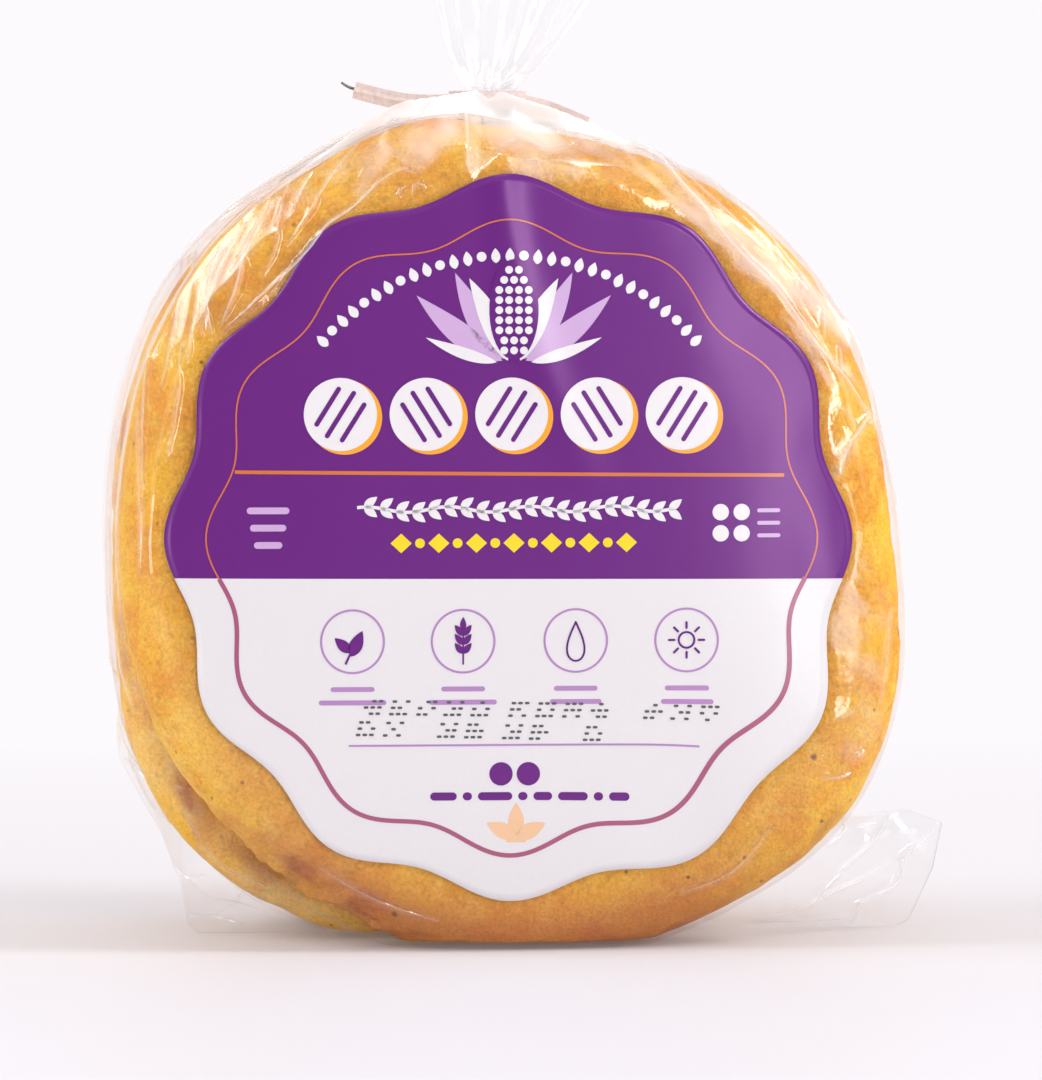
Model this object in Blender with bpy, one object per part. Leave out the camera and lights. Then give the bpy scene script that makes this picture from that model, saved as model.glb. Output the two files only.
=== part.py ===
"""A clear bag of round stuffed corn cakes, standing on edge and shut with a twist tie.

The bag is one solid out to its film: the stack's rim, the flat it stands on, two folded
bottom corners, the gathered neck and the flared tail. A lobed label lies on its front
and a flat tie with a wire core winds round the neck. The front faces -Y, in metres.
"""

import math

import bmesh
import bpy
from mathutils import Vector

# Stack of cakes standing on edge
CAKE_COUNT = 4
CAKE_THICKNESS = 0.0128
CAKE_RADIUS = 0.0520
CAKE_TALLNESS = 0.033  # share by which a cake is taller and narrower than round
CAKE_SQUARENESS = 0.016
SQUARE_TURN = math.radians(50)
CENTRE_HEIGHT = 0.0528
# How far the film follows each cake's sag at the lower right and lower left, front to back
SAG_RIGHT = (0.0058, 0.0046, 0.0038, 0.0032)
SAG_LEFT = (-0.0004, 0.0046, 0.0040, 0.0032)
RIGHT_SAG_ANGLE = math.radians(122)
RIGHT_SAG_SPREAD = math.radians(30)
LEFT_SAG_ANGLE = math.radians(-135)
LEFT_SAG_SPREAD = math.radians(27)
BASE_SAG = 0.0028
BASE_SAG_SPREAD = math.radians(26)
TOP_SWELL = 0.0018
TOP_SWELL_ANGLE = math.radians(-11)
TOP_SWELL_SPREAD = math.radians(11)
VALLEY_DEPTH = 0.0011
FACE_DOME = 0.0022
SHOULDER_START = 0.86  # share of the radius where the face turns into the rim
AROUND = 72

# Neck and tail
NECK_HEIGHT = 0.1090
NECK_RADIUS = 0.0036
TAIL_TOP = 0.1427
TAIL_HALF_WIDTH = 0.0205
TAIL_HALF_THICKNESS = 0.0009
TAIL_LEAN = 0.0075
TAIL_PLEATS = 5
PLEAT_DEPTH = 0.0024
NECK_AROUND = 48

# Label
LABEL_CENTRE = (0.0003, 0.0531)  # x, z
LABEL_RADIUS = 0.0439
LABEL_TALLNESS = 0.027
LABEL_LOBES = 12
LOBE_HEIGHT = 0.00125
LABEL_STRETCH = 0.0024  # how much further out its lower right reaches
STRETCH_ANGLE = math.radians(135)
STRETCH_SPREAD = math.radians(28)
LABEL_THICKNESS = 0.0003
LABEL_AROUND = 96
LABEL_RINGS = (0.45, 0.72, 0.86, 0.94, 1.0)

# Twist tie
TIE_WIDTH = 0.0022
TIE_THICKNESS = 0.0004
TIE_RIDGE = 0.00075
TIE_TURN_RADIUS = NECK_RADIUS + 0.0009
TIE_TURN_GROWTH = 0.0011

GAP = 0.0003
STACK_DEPTH = CAKE_COUNT * CAKE_THICKNESS


def clear_scene():
    for item in list(bpy.data.objects):
        bpy.data.objects.remove(item)


def new_collection(name):
    collection = bpy.data.collections.new(name)
    bpy.context.scene.collection.children.link(collection)
    return collection


def make_material(name, colour, roughness, alpha=1.0):
    material = bpy.data.materials.new(name)
    material.use_nodes = True
    shader = material.node_tree.nodes["Principled BSDF"]
    shader.inputs["Base Color"].default_value = (*colour, 1.0)
    shader.inputs["Roughness"].default_value = roughness
    shader.inputs["Metallic"].default_value = 0.0
    shader.inputs["Alpha"].default_value = alpha
    return material


def place(data, name, collection, material):
    obj = bpy.data.objects.new(name, data)
    data.materials.append(material)
    collection.objects.link(obj)
    return obj


def bump(angle, middle, spread):
    turned = (angle - middle + math.pi) % math.tau - math.pi
    return math.exp(-((turned / spread) ** 2))


def rim_radius(angle, right, left):
    """Radius of the stack at an angle from straight up towards +X, with its sagging lower corners."""
    square = CAKE_SQUARENESS * math.cos(4 * (angle - SQUARE_TURN))
    radius = CAKE_RADIUS * (1 + CAKE_TALLNESS * math.cos(2 * angle) + square)
    radius += right * bump(angle, RIGHT_SAG_ANGLE, RIGHT_SAG_SPREAD)
    radius += left * bump(angle, LEFT_SAG_ANGLE, LEFT_SAG_SPREAD)
    radius += TOP_SWELL * bump(angle, TOP_SWELL_ANGLE, TOP_SWELL_SPREAD)
    return radius + BASE_SAG * bump(angle, math.pi, BASE_SAG_SPREAD)


def face_lift(share):
    """How far the face stands in front of the rim's middle, at a share of the radius."""
    arc = max(0.0, (share - SHOULDER_START) / (1 - SHOULDER_START))
    shoulder = CAKE_THICKNESS / 2 * math.sqrt(max(0.0, 1 - arc**2))
    return shoulder + FACE_DOME * (1 - share**4)


def front_depth(x, z):
    """The y of the bag's front at x, z."""
    angle = math.atan2(x, z - CENTRE_HEIGHT)
    share = math.hypot(x, z - CENTRE_HEIGHT) / rim_radius(angle, SAG_RIGHT[0], SAG_LEFT[0])
    return -STACK_DEPTH / 2 + CAKE_THICKNESS / 2 - face_lift(share)


def loft(bm, rings):
    """Joins closed rings of equal length into a tube and returns the first and last ring."""
    rows = [[bm.verts.new(point) for point in ring] for ring in rings]
    for low, high in zip(rows, rows[1:]):
        for i in range(len(low)):
            j = (i + 1) % len(low)
            bm.faces.new((low[i], low[j], high[j], high[i]))
    return rows[0], rows[-1]


def fan(bm, ring, point):
    tip = bm.verts.new(point)
    for i in range(len(ring)):
        bm.faces.new((ring[i], ring[(i + 1) % len(ring)], tip))


def finish_mesh(bm, name):
    bmesh.ops.recalc_face_normals(bm, faces=bm.faces)
    mesh = bpy.data.meshes.new(name)
    bm.to_mesh(mesh)
    bm.free()
    mesh.shade_smooth()
    mesh.set_sharp_from_angle(angle=math.radians(40))
    return mesh


def stack_ring(y, share, right, left, dip=0.0):
    ring = []
    for i in range(AROUND):
        angle = math.tau * i / AROUND
        radius = rim_radius(angle, right, left) * share - dip
        z = max(0.0, CENTRE_HEIGHT + radius * math.cos(angle))
        ring.append((radius * math.sin(angle), y, z))
    return ring


def stack_mesh():
    """The film round the cakes: domed faces, round shoulders and a shallow valley at each joint."""
    shares = (0.3, 0.55, 0.74, SHOULDER_START, 0.9, 0.935, 0.965, 0.985, 0.996)
    first = -STACK_DEPTH / 2 + CAKE_THICKNESS / 2
    rings = [stack_ring(first - face_lift(s), s, SAG_RIGHT[0], SAG_LEFT[0]) for s in shares]
    steps = 4
    for i in range((CAKE_COUNT - 1) * steps + 1):
        at = i / steps
        low = min(int(at), CAKE_COUNT - 2)
        mix = at - low
        right = SAG_RIGHT[low] * (1 - mix) + SAG_RIGHT[low + 1] * mix
        left = SAG_LEFT[low] * (1 - mix) + SAG_LEFT[low + 1] * mix
        dip = VALLEY_DEPTH * math.sin(math.pi * at) ** 4
        rings.append(stack_ring(first + at * CAKE_THICKNESS, 1.0, right, left, dip))
    last = first + (CAKE_COUNT - 1) * CAKE_THICKNESS
    for share in reversed(shares):
        rings.append(stack_ring(last + face_lift(share), share, SAG_RIGHT[-1], SAG_LEFT[-1]))
    bm = bmesh.new()
    front, back = loft(bm, rings)
    fan(bm, front, (0.0, first - face_lift(0.0), CENTRE_HEIGHT))
    fan(bm, back, (0.0, last + face_lift(0.0), CENTRE_HEIGHT))
    return finish_mesh(bm, "bag")


def neck_mesh():
    """The film above the stack: a tent that gathers into the neck, then a flared tail with pleats."""
    tent = (
        (0.0970, 0.0200, 0.0165),
        (0.1022, 0.0195, 0.0165),
        (0.1044, 0.0120, 0.0125),
        (0.1058, 0.0088, 0.0095),
        (0.1070, 0.0060, 0.0060),
        (NECK_HEIGHT - TIE_WIDTH / 2, NECK_RADIUS, NECK_RADIUS),
        (NECK_HEIGHT + TIE_WIDTH / 2, NECK_RADIUS, NECK_RADIUS),
    )
    rings = [neck_ring(z, half_x, half_y, 0.0) for z, half_x, half_y in tent]
    low = NECK_HEIGHT + TIE_WIDTH / 2
    steps = 8
    for i in range(1, steps + 1):
        t = i / steps
        half_x = NECK_RADIUS + (TAIL_HALF_WIDTH - NECK_RADIUS) * t**0.8
        half_y = TAIL_HALF_THICKNESS + (NECK_RADIUS - TAIL_HALF_THICKNESS) * (1 - t) ** 3
        rings.append(neck_ring(low + (TAIL_TOP - low) * t, half_x, half_y, t))
    bm = bmesh.new()
    bottom, top = loft(bm, rings)
    bm.faces.new(bottom)
    bm.faces.new(top)
    bmesh.ops.triangulate(bm, faces=[face for face in bm.faces if len(face.verts) > 4])
    return finish_mesh(bm, "neck")


def neck_ring(z, half_x, half_y, flare):
    """One level of the neck. flare runs from 0 at the tie to 1 at the tail's cut end."""
    ring = []
    for i in range(NECK_AROUND):
        angle = math.tau * i / NECK_AROUND
        across = math.cos(angle)
        fold = PLEAT_DEPTH * flare * math.sin(TAIL_PLEATS * across * math.pi / 2 + 0.6)
        x = half_x * across + TAIL_LEAN * flare
        ring.append((x, half_y * math.sin(angle) + fold, z))
    return ring


def corner_mesh(name, points):
    """A folded bottom corner of the bag, from x, z and half-thickness points in order round its edge."""
    bm = bmesh.new()
    sides = [[bm.verts.new((x, side * half, z)) for x, z, half in points] for side in (-1, 1)]
    bm.faces.new(sides[0])
    bm.faces.new(reversed(sides[1]))
    for i in range(len(points)):
        j = (i + 1) % len(points)
        bm.faces.new((sides[0][i], sides[0][j], sides[1][j], sides[1][i]))
    bmesh.ops.triangulate(bm, faces=[face for face in bm.faces if len(face.verts) > 4])
    return finish_mesh(bm, name)


def join(target, mesh, name, helpers, material):
    """Joins a closed mesh to the target with a Boolean union."""
    tool = place(mesh, name, helpers, material)
    tool.hide_render = True
    tool.display_type = "WIRE"
    union = target.modifiers.new(name, "BOOLEAN")
    union.operation = "UNION"
    union.object = tool


def make_bag(collection, helpers):
    film = make_material("clear_film", (0.96, 0.95, 0.96), 0.12, alpha=0.35)
    bag = place(stack_mesh(), "bag", collection, film)
    edge = 0.0006
    crease = 0.0030
    root = 0.0085
    left = (
        (-0.0482, 0.0310, edge),
        (-0.0491, 0.0252, edge),
        (-0.0462, 0.0185, edge),
        (-0.0433, 0.0136, edge),
        (-0.0412, 0.0068, edge),
        (-0.0400, 0.0006, edge),
        (-0.0335, 0.0005, crease),
        (-0.0240, 0.0004, root),
        (-0.0160, 0.0030, 2 * root),
        (-0.0300, 0.0220, root),
    )
    right = (
        (0.0420, 0.0195, edge),
        (0.0473, 0.0138, edge),
        (0.0545, 0.0158, edge),
        (0.0600, 0.0140, edge),
        (0.0588, 0.0078, edge),
        (0.0540, 0.0006, edge),
        (0.0440, 0.0005, crease),
        (0.0330, 0.0004, root),
        (0.0200, 0.0030, 2 * root),
        (0.0300, 0.0180, root),
    )
    join(bag, corner_mesh("left_corner", left), "left_corner", helpers, film)
    join(bag, corner_mesh("right_corner", right), "right_corner", helpers, film)
    join(bag, neck_mesh(), "neck", helpers, film)


def label_point(angle, share, lift):
    radius = LABEL_RADIUS * (1 + LABEL_TALLNESS * math.cos(2 * angle))
    radius += LOBE_HEIGHT * math.cos(LABEL_LOBES * angle)
    radius += LABEL_STRETCH * bump(angle, STRETCH_ANGLE, STRETCH_SPREAD)
    x = LABEL_CENTRE[0] + share * radius * math.sin(angle)
    z = LABEL_CENTRE[1] + share * radius * math.cos(angle)
    return (x, front_depth(x, z) - lift, z)


def make_label(collection):
    """A thin plate with wavy edges that follows the front of the bag."""
    paper = make_material("label_print", (0.24, 0.06, 0.36), 0.35)
    angles = [math.tau * i / LABEL_AROUND for i in range(LABEL_AROUND)]
    back = [[label_point(a, share, GAP) for a in angles] for share in LABEL_RINGS]
    top = GAP + LABEL_THICKNESS
    front = [[label_point(a, share, top) for a in angles] for share in reversed(LABEL_RINGS)]
    bm = bmesh.new()
    inner_back, inner_front = loft(bm, back + front)
    fan(bm, inner_back, label_point(0.0, 0.0, GAP))
    fan(bm, inner_front, label_point(0.0, 0.0, top))
    place(finish_mesh(bm, "label"), "label", collection, paper)


def tie_route():
    """Points from the left end, once round the neck in a growing turn, to the right end."""
    height = NECK_HEIGHT
    route = [
        Vector((-0.0178, -0.0016, height + 0.0014)),
        Vector((-0.0150, -0.0026, height + 0.0006)),
        Vector((-0.0115, -0.0038, height - 0.0002)),
        Vector((-0.0075, -0.0044, height - 0.0004)),
    ]
    turn_points = 16
    start = math.radians(-110)
    sweep = math.radians(410)
    for i in range(turn_points + 1):
        t = i / turn_points
        angle = start + sweep * t
        radius = TIE_TURN_RADIUS + TIE_TURN_GROWTH * t
        rise = 0.0003 * math.sin(math.pi * t)
        route.append(Vector((radius * math.cos(angle), radius * math.sin(angle), height + rise)))
    route.append(Vector((0.0078, -0.0034, height - 0.0012)))
    route.append(Vector((0.0100, -0.0050, height - 0.0022)))
    route.append(Vector((0.0122, -0.0062, height - 0.0032)))
    return route


def tie_profile(helpers):
    """The tie's cross-section: a flat strip with a ridge over its wire."""
    half = TIE_WIDTH / 2
    thin = TIE_THICKNESS / 2
    ridge = TIE_RIDGE / 2
    flank = TIE_RIDGE * 0.6
    side = ((-half, thin), (-flank, thin), (0.0, ridge), (flank, thin), (half, thin))
    corners = [(across, -out) for across, out in side] + list(reversed(side))
    curve = bpy.data.curves.new("tie_profile", "CURVE")
    curve.dimensions = "2D"
    spline = curve.splines.new("POLY")
    spline.points.add(len(corners) - 1)
    for point, (across, out) in zip(spline.points, corners):
        point.co = (out, across, 0.0, 1.0)
    spline.use_cyclic_u = True
    profile = bpy.data.objects.new("tie_profile", curve)
    helpers.objects.link(profile)
    profile.hide_render = True
    profile.display_type = "WIRE"
    return profile


def make_tie(collection, helpers):
    paper = make_material("tie_strip", (0.85, 0.76, 0.72), 0.5)
    curve = bpy.data.curves.new("tie", "CURVE")
    curve.dimensions = "3D"
    curve.twist_mode = "Z_UP"
    curve.resolution_u = 3
    curve.bevel_mode = "OBJECT"
    curve.bevel_object = tie_profile(helpers)
    curve.use_fill_caps = True
    route = tie_route()
    spline = curve.splines.new("NURBS")
    spline.points.add(len(route) - 1)
    for point, place_at in zip(spline.points, route):
        point.co = (*place_at, 1.0)
    spline.order_u = 3
    spline.use_endpoint_u = True
    place(curve, "tie", collection, paper)


def main():
    clear_scene()
    pack = new_collection("corn_cake_pack")
    helpers = new_collection("helpers")
    make_bag(pack, helpers)
    make_label(pack)
    make_tie(pack, helpers)
    bpy.context.view_layer.update()


main()
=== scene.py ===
"""The looks of a clear bag of stuffed corn cakes: four cakes, creased film, a printed label and a twist tie.

Everything is in metres in the CAD frame. The pack stands on z = 0 and its front faces -Y.
"""

import math

import bmesh
import bpy
import numpy as np
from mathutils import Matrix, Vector


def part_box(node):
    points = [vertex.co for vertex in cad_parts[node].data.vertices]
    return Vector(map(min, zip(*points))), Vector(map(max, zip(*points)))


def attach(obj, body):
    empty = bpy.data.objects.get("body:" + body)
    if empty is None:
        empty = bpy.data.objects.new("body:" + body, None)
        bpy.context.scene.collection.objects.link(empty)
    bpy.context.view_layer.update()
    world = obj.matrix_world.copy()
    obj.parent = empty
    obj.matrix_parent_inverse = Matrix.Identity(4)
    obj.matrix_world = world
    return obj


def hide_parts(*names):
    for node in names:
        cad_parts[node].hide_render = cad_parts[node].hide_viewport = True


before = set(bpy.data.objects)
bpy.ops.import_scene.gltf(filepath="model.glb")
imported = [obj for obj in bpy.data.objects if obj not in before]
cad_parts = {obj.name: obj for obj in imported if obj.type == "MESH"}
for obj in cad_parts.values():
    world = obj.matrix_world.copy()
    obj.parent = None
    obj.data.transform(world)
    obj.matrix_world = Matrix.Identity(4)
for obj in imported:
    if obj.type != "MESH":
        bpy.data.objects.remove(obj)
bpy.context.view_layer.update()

MM = 0.001
BAG_LOW, BAG_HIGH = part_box("bag")
LABEL_LOW, LABEL_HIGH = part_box("label")
TIE_LOW, TIE_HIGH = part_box("tie")

# The stack, as the CAD's film solid has it
CAKE_COUNT = 4
CAKE_THICKNESS = 0.0128
STACK_DEPTH = CAKE_COUNT * CAKE_THICKNESS
FIRST_PLANE = -STACK_DEPTH / 2 + CAKE_THICKNESS / 2
CAKE_PLANES = [FIRST_PLANE + i * CAKE_THICKNESS for i in range(CAKE_COUNT)]
RADIUS = 0.0520
TALLNESS = 0.033
SQUARENESS = 0.016
SQUARE_TURN = math.radians(50)
CENTRE_HEIGHT = 0.0528
SAG_RIGHT = (0.0058, 0.0046, 0.0038, 0.0032)
SAG_LEFT = (-0.0004, 0.0046, 0.0040, 0.0032)
RIGHT_SAG_ANGLE = math.radians(122)
RIGHT_SAG_SPREAD = math.radians(30)
LEFT_SAG_ANGLE = math.radians(-135)
LEFT_SAG_SPREAD = math.radians(27)
BASE_SAG = 0.0028
BASE_SAG_SPREAD = math.radians(26)
TOP_SWELL = 0.0018
TOP_SWELL_ANGLE = math.radians(-11)
TOP_SWELL_SPREAD = math.radians(11)
VALLEY_DEPTH = 0.0011
FACE_DOME = 0.0022
SHOULDER_START = 0.86

# Neck and tail
NECK_HEIGHT = 0.1090
NECK_RADIUS = 0.0036
TAIL_TOP = BAG_HIGH[2]
TAIL_HALF_WIDTH = 0.0200
TAIL_LEAN = 0.0075

# Label
LABEL_X = 0.0003
LABEL_Z = 0.0531
LABEL_RADIUS = 0.0439
LABEL_TALLNESS = 0.027
LABEL_STRETCH = 0.0024
STRETCH_ANGLE = math.radians(135)
STRETCH_SPREAD = math.radians(28)
LABEL_LOBES = 12
LOBE_HEIGHT = 0.00125
LABEL_LIFT = 0.0004
PRINT_LIFT = 0.00003

FLOOR_GAP = 0.00015
FILM_AROUND = 540


# ---------------------------------------------------------------- noise


def lattice(cells, seed):
    """A repeatable value from -1 to 1 for each whole-number cell."""
    mixed = cells[..., 0] * 73856093 ^ cells[..., 1] * 19349663 ^ cells[..., 2] * 83492791 ^ seed * 668265263
    mixed = (mixed ^ (mixed >> 13)) * 1274126177
    return ((mixed ^ (mixed >> 16)) & 0xFFFF) / 32767.5 - 1


def noise(points, size, seed=0):
    """Smooth noise from -1 to 1 whose features are about one size across."""
    at = np.asarray(points) / size
    low = np.floor(at).astype(np.int64)
    part = at - low
    ease = part * part * part * (part * (part * 6 - 15) + 10)
    total = np.zeros(at.shape[:-1])
    for corner in np.ndindex(2, 2, 2):
        corner = np.array(corner)
        weight = np.prod(np.where(corner == 1, ease, 1 - ease), axis=-1)
        total += weight * lattice(low + corner, seed)
    return total


TURN = np.array(((0.36, 0.48, -0.80), (-0.80, 0.60, 0.0), (0.48, 0.64, 0.60)))


def layered(points, size, layers, seed=0, fade=0.5, ridged=False):
    """Several sizes of noise added up, each half the last and turned so that no grid shows."""
    total = 0.0
    weight = 1.0
    points = np.asarray(points)
    for i in range(layers):
        points = points @ TURN.T
        value = noise(points, size * 0.5**i, seed + i * 17)
        total = total + weight * (1 - 2 * np.abs(value) if ridged else value)
        weight *= fade
    return total / sum(fade**i for i in range(layers))


# ---------------------------------------------------------------- shapes


def bump(angle, middle, spread):
    turned = (angle - middle + math.pi) % math.tau - math.pi
    return np.exp(-((turned / spread) ** 2))


def rim_radius(angle, right, left):
    """Radius of the stack at an angle from straight up towards +X."""
    radius = RADIUS * (1 + TALLNESS * np.cos(2 * angle) + SQUARENESS * np.cos(4 * (angle - SQUARE_TURN)))
    radius += right * bump(angle, RIGHT_SAG_ANGLE, RIGHT_SAG_SPREAD)
    radius += left * bump(angle, LEFT_SAG_ANGLE, LEFT_SAG_SPREAD)
    return radius + BASE_SAG * bump(angle, math.pi, BASE_SAG_SPREAD) + TOP_SWELL * bump(angle, TOP_SWELL_ANGLE, TOP_SWELL_SPREAD)


def face_lift(share):
    """How far the face stands in front of the rim's middle, at a share of the radius."""
    arc = np.clip((share - SHOULDER_START) / (1 - SHOULDER_START), 0, 1)
    return CAKE_THICKNESS / 2 * np.sqrt(1 - arc**2) + FACE_DOME * (1 - share**4)


def front_depth(x, z):
    """The y of the film's front at x, z, before any crease."""
    angle = np.arctan2(x, z - CENTRE_HEIGHT)
    share = np.hypot(x, z - CENTRE_HEIGHT) / rim_radius(angle, SAG_RIGHT[0], SAG_LEFT[0])
    return FIRST_PLANE - face_lift(share)


def label_edge(angle):
    """The label's radius with its twelve lobes, before its lower right is stretched."""
    return LABEL_RADIUS * (1 + LABEL_TALLNESS * np.cos(2 * angle)) + LOBE_HEIGHT * np.cos(LABEL_LOBES * angle)


def stretched_radius(radius, angle):
    """Where a radius on the even label comes to lie on the stretched one."""
    share = radius / label_edge(angle)
    return radius + LABEL_STRETCH * bump(angle, STRETCH_ANGLE, STRETCH_SPREAD) * share**8


def inside_label(x, z):
    """Distance inside the label's edge, negative outside it."""
    angle = np.arctan2(x - LABEL_X, z - LABEL_Z)
    return stretched_radius(label_edge(angle), angle) - np.hypot(x - LABEL_X, z - LABEL_Z)


def smooth_step(low, high, value):
    t = np.clip((value - low) / (high - low), 0, 1)
    return t * t * (3 - 2 * t)


# ---------------------------------------------------------------- meshes


def grid_faces(rows, columns, wrap):
    """Quads of a grid of points stored row by row, whose columns may close on themselves."""
    row = np.arange(rows - 1)[:, None] * columns
    column = np.arange(columns if wrap else columns - 1)[None, :]
    after = (column + 1) % columns
    quads = np.stack([row + column, row + after, row + columns + after, row + columns + column], axis=-1)
    return quads.reshape(-1, 4)


def make_object(name, points, faces, material, attributes=None):
    mesh = bpy.data.meshes.new(name)
    mesh.from_pydata(np.asarray(points).reshape(-1, 3).tolist(), [], [list(map(int, f)) for f in faces])
    for title, values in (attributes or {}).items():
        layer = mesh.attributes.new(title, "FLOAT", "POINT")
        layer.data.foreach_set("value", np.asarray(values, np.float32).ravel())
    mesh.materials.append(material)
    mesh.shade_smooth()
    obj = bpy.data.objects.new(name, mesh)
    bpy.context.scene.collection.objects.link(obj)
    return obj


def grid_normals(points):
    """Outward normals of a closed-round grid of points, rows by columns."""
    along = np.gradient(points, axis=0)
    padded = np.concatenate([points[:, -1:], points, points[:, :1]], axis=1)
    across = (padded[:, 2:] - padded[:, :-2]) / 2
    normal = np.cross(across, along)
    return normal / np.maximum(np.linalg.norm(normal, axis=-1, keepdims=True), 1e-9)


# ---------------------------------------------------------------- materials


def new_material(name):
    material = bpy.data.materials.new(name)
    material.use_nodes = True
    tree = material.node_tree
    return material, tree, tree.nodes["Principled BSDF"]


def add(tree, kind, settings=None, **inputs):
    """Adds a shader node. An input's name is its socket's, with _ for a space."""
    node = tree.nodes.new("ShaderNode" + kind)
    for key, value in (settings or {}).items():
        setattr(node, key, value)
    for key, value in inputs.items():
        connect(tree, node.inputs[key.replace("_", " ")], value)
    return node


def connect(tree, socket, value):
    if isinstance(value, bpy.types.NodeSocket):
        tree.links.new(value, socket)
    else:
        socket.default_value = value


def math_node(tree, operation, first, second=0.0, clamp=False):
    node = add(tree, "Math", {"operation": operation, "use_clamp": clamp})
    connect(tree, node.inputs[0], first)
    connect(tree, node.inputs[1], second)
    return node.outputs[0]


def mix_colour(tree, factor, first, second, blend="MIX"):
    node = add(tree, "Mix", {"data_type": "RGBA", "blend_type": blend})
    connect(tree, node.inputs[0], factor)
    connect(tree, node.inputs[6], first)
    connect(tree, node.inputs[7], second)
    return node.outputs[2]


def ramp(tree, factor, *stops):
    """A colour ramp from (position, value) stops, where a value is a number or a colour."""
    node = add(tree, "ValToRGB", Fac=factor)
    points = node.color_ramp.elements
    while len(points) < len(stops):
        points.new(0.5)
    for point, (position, value) in zip(points, stops):
        point.position = position
        point.color = (*value, 1.0) if isinstance(value, tuple) else (value, value, value, 1.0)
    return node.outputs[0]


def place_at(tree):
    return add(tree, "TexCoord").outputs["Object"]


def noise_node(tree, where, size, detail=2.0, rough=0.5):
    node = add(tree, "TexNoise", Vector=where, Scale=1 / size, Detail=detail, Roughness=rough)
    return node.outputs[0]


def cake_material():
    """Toasted corn dough: tan and grainy on the faces, golden at the rim, with browned patches and specks, painted
    shade on the undersides and a painted pale patch of light low on the left.
    """
    material, tree, shader = new_material("corn_dough")
    where = place_at(tree)
    toast = add(tree, "Attribute", {"attribute_name": "toast"}).outputs["Fac"]
    scorch_and_shade = add(tree, "Attribute", {"attribute_name": "scorch_and_shade"}).outputs["Fac"]
    painted_pale_light = add(tree, "Attribute", {"attribute_name": "painted_pale_light"}).outputs["Fac"]
    patches = noise_node(tree, where, 0.008, 3)
    mottles = noise_node(tree, where, 0.0032, 4, 0.68)
    crumbs = noise_node(tree, where, 0.0011, 3, 0.65)
    grain = noise_node(tree, where, 0.00042, 3, 0.6)
    dough = mix_colour(tree, ramp(tree, patches, (0.40, 0.0), (0.60, 1.0)), (0.90, 0.49, 0.024, 1), (0.80, 0.325, 0.018, 1))
    pale = ramp(tree, mottles, (0.50, 0.0), (0.68, 0.8))
    dough = mix_colour(tree, pale, dough, (0.92, 0.60, 0.06, 1))
    tan = mix_colour(tree, ramp(tree, mottles, (0.38, 0.0), (0.64, 1.0)), (0.66, 0.262, 0.038, 1), (0.80, 0.40, 0.072, 1))
    shade = math_node(tree, "MULTIPLY_ADD", mottles, 1.1)
    shade.node.inputs[2].default_value = -0.55
    browned = math_node(tree, "ADD", toast, shade, clamp=True)
    colour = mix_colour(tree, browned, dough, tan)
    # painted light: the pale patch low on the left
    colour = mix_colour(tree, painted_pale_light, colour, mix_colour(tree, pale, (0.93, 0.60, 0.20, 1), (0.97, 0.74, 0.32, 1)))
    dark = ramp(tree, crumbs, (0.30, 0.82), (0.47, 1.0))
    colour = mix_colour(tree, 1.0, colour, dark, "MULTIPLY")
    # browned griddle marks, and painted shade on the cakes' undersides
    colour = mix_colour(tree, scorch_and_shade, colour, (0.43, 0.125, 0.042, 1))
    light_grain = ramp(tree, grain, (0.28, 0.77), (0.52, 0.96), (0.74, 1.10))
    colour = mix_colour(tree, 1.0, colour, light_grain, "MULTIPLY")
    for spacing, share, reach in ((0.0042, 0.80, 0.13), (0.0023, 0.86, 0.16)):
        cells = add(tree, "TexVoronoi", Vector=where, Scale=1 / spacing, Randomness=1.0)
        rare = ramp(tree, add(tree, "TexWhiteNoise", Vector=cells.outputs["Position"]).outputs[0], (share, 0.0), (share + 0.06, 1.0))
        size = ramp(tree, cells.outputs["Distance"], (reach * 0.4, 0.85), (reach, 0.0))
        colour = mix_colour(tree, math_node(tree, "MULTIPLY", rare, size), colour, (0.15, 0.05, 0.018, 1))
    connect(tree, shader.inputs["Base Color"], colour)
    connect(tree, shader.inputs["Roughness"], ramp(tree, mottles, (0.3, 0.48), (0.7, 0.68)))
    shader.inputs["Specular IOR Level"].default_value = 0.30
    shader.inputs["Subsurface Weight"].default_value = 0.06
    shader.inputs["Subsurface Radius"].default_value = (1.0, 0.45, 0.12)
    shader.inputs["Subsurface Scale"].default_value = 0.0010
    relief = math_node(tree, "ADD", math_node(tree, "ADD", grain, crumbs), math_node(tree, "MULTIPLY", mottles, 1.5))
    bumped = add(tree, "Bump", Strength=0.5, Distance=0.0005, Height=relief)
    connect(tree, shader.inputs["Normal"], bumped.outputs[0])
    return material


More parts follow.
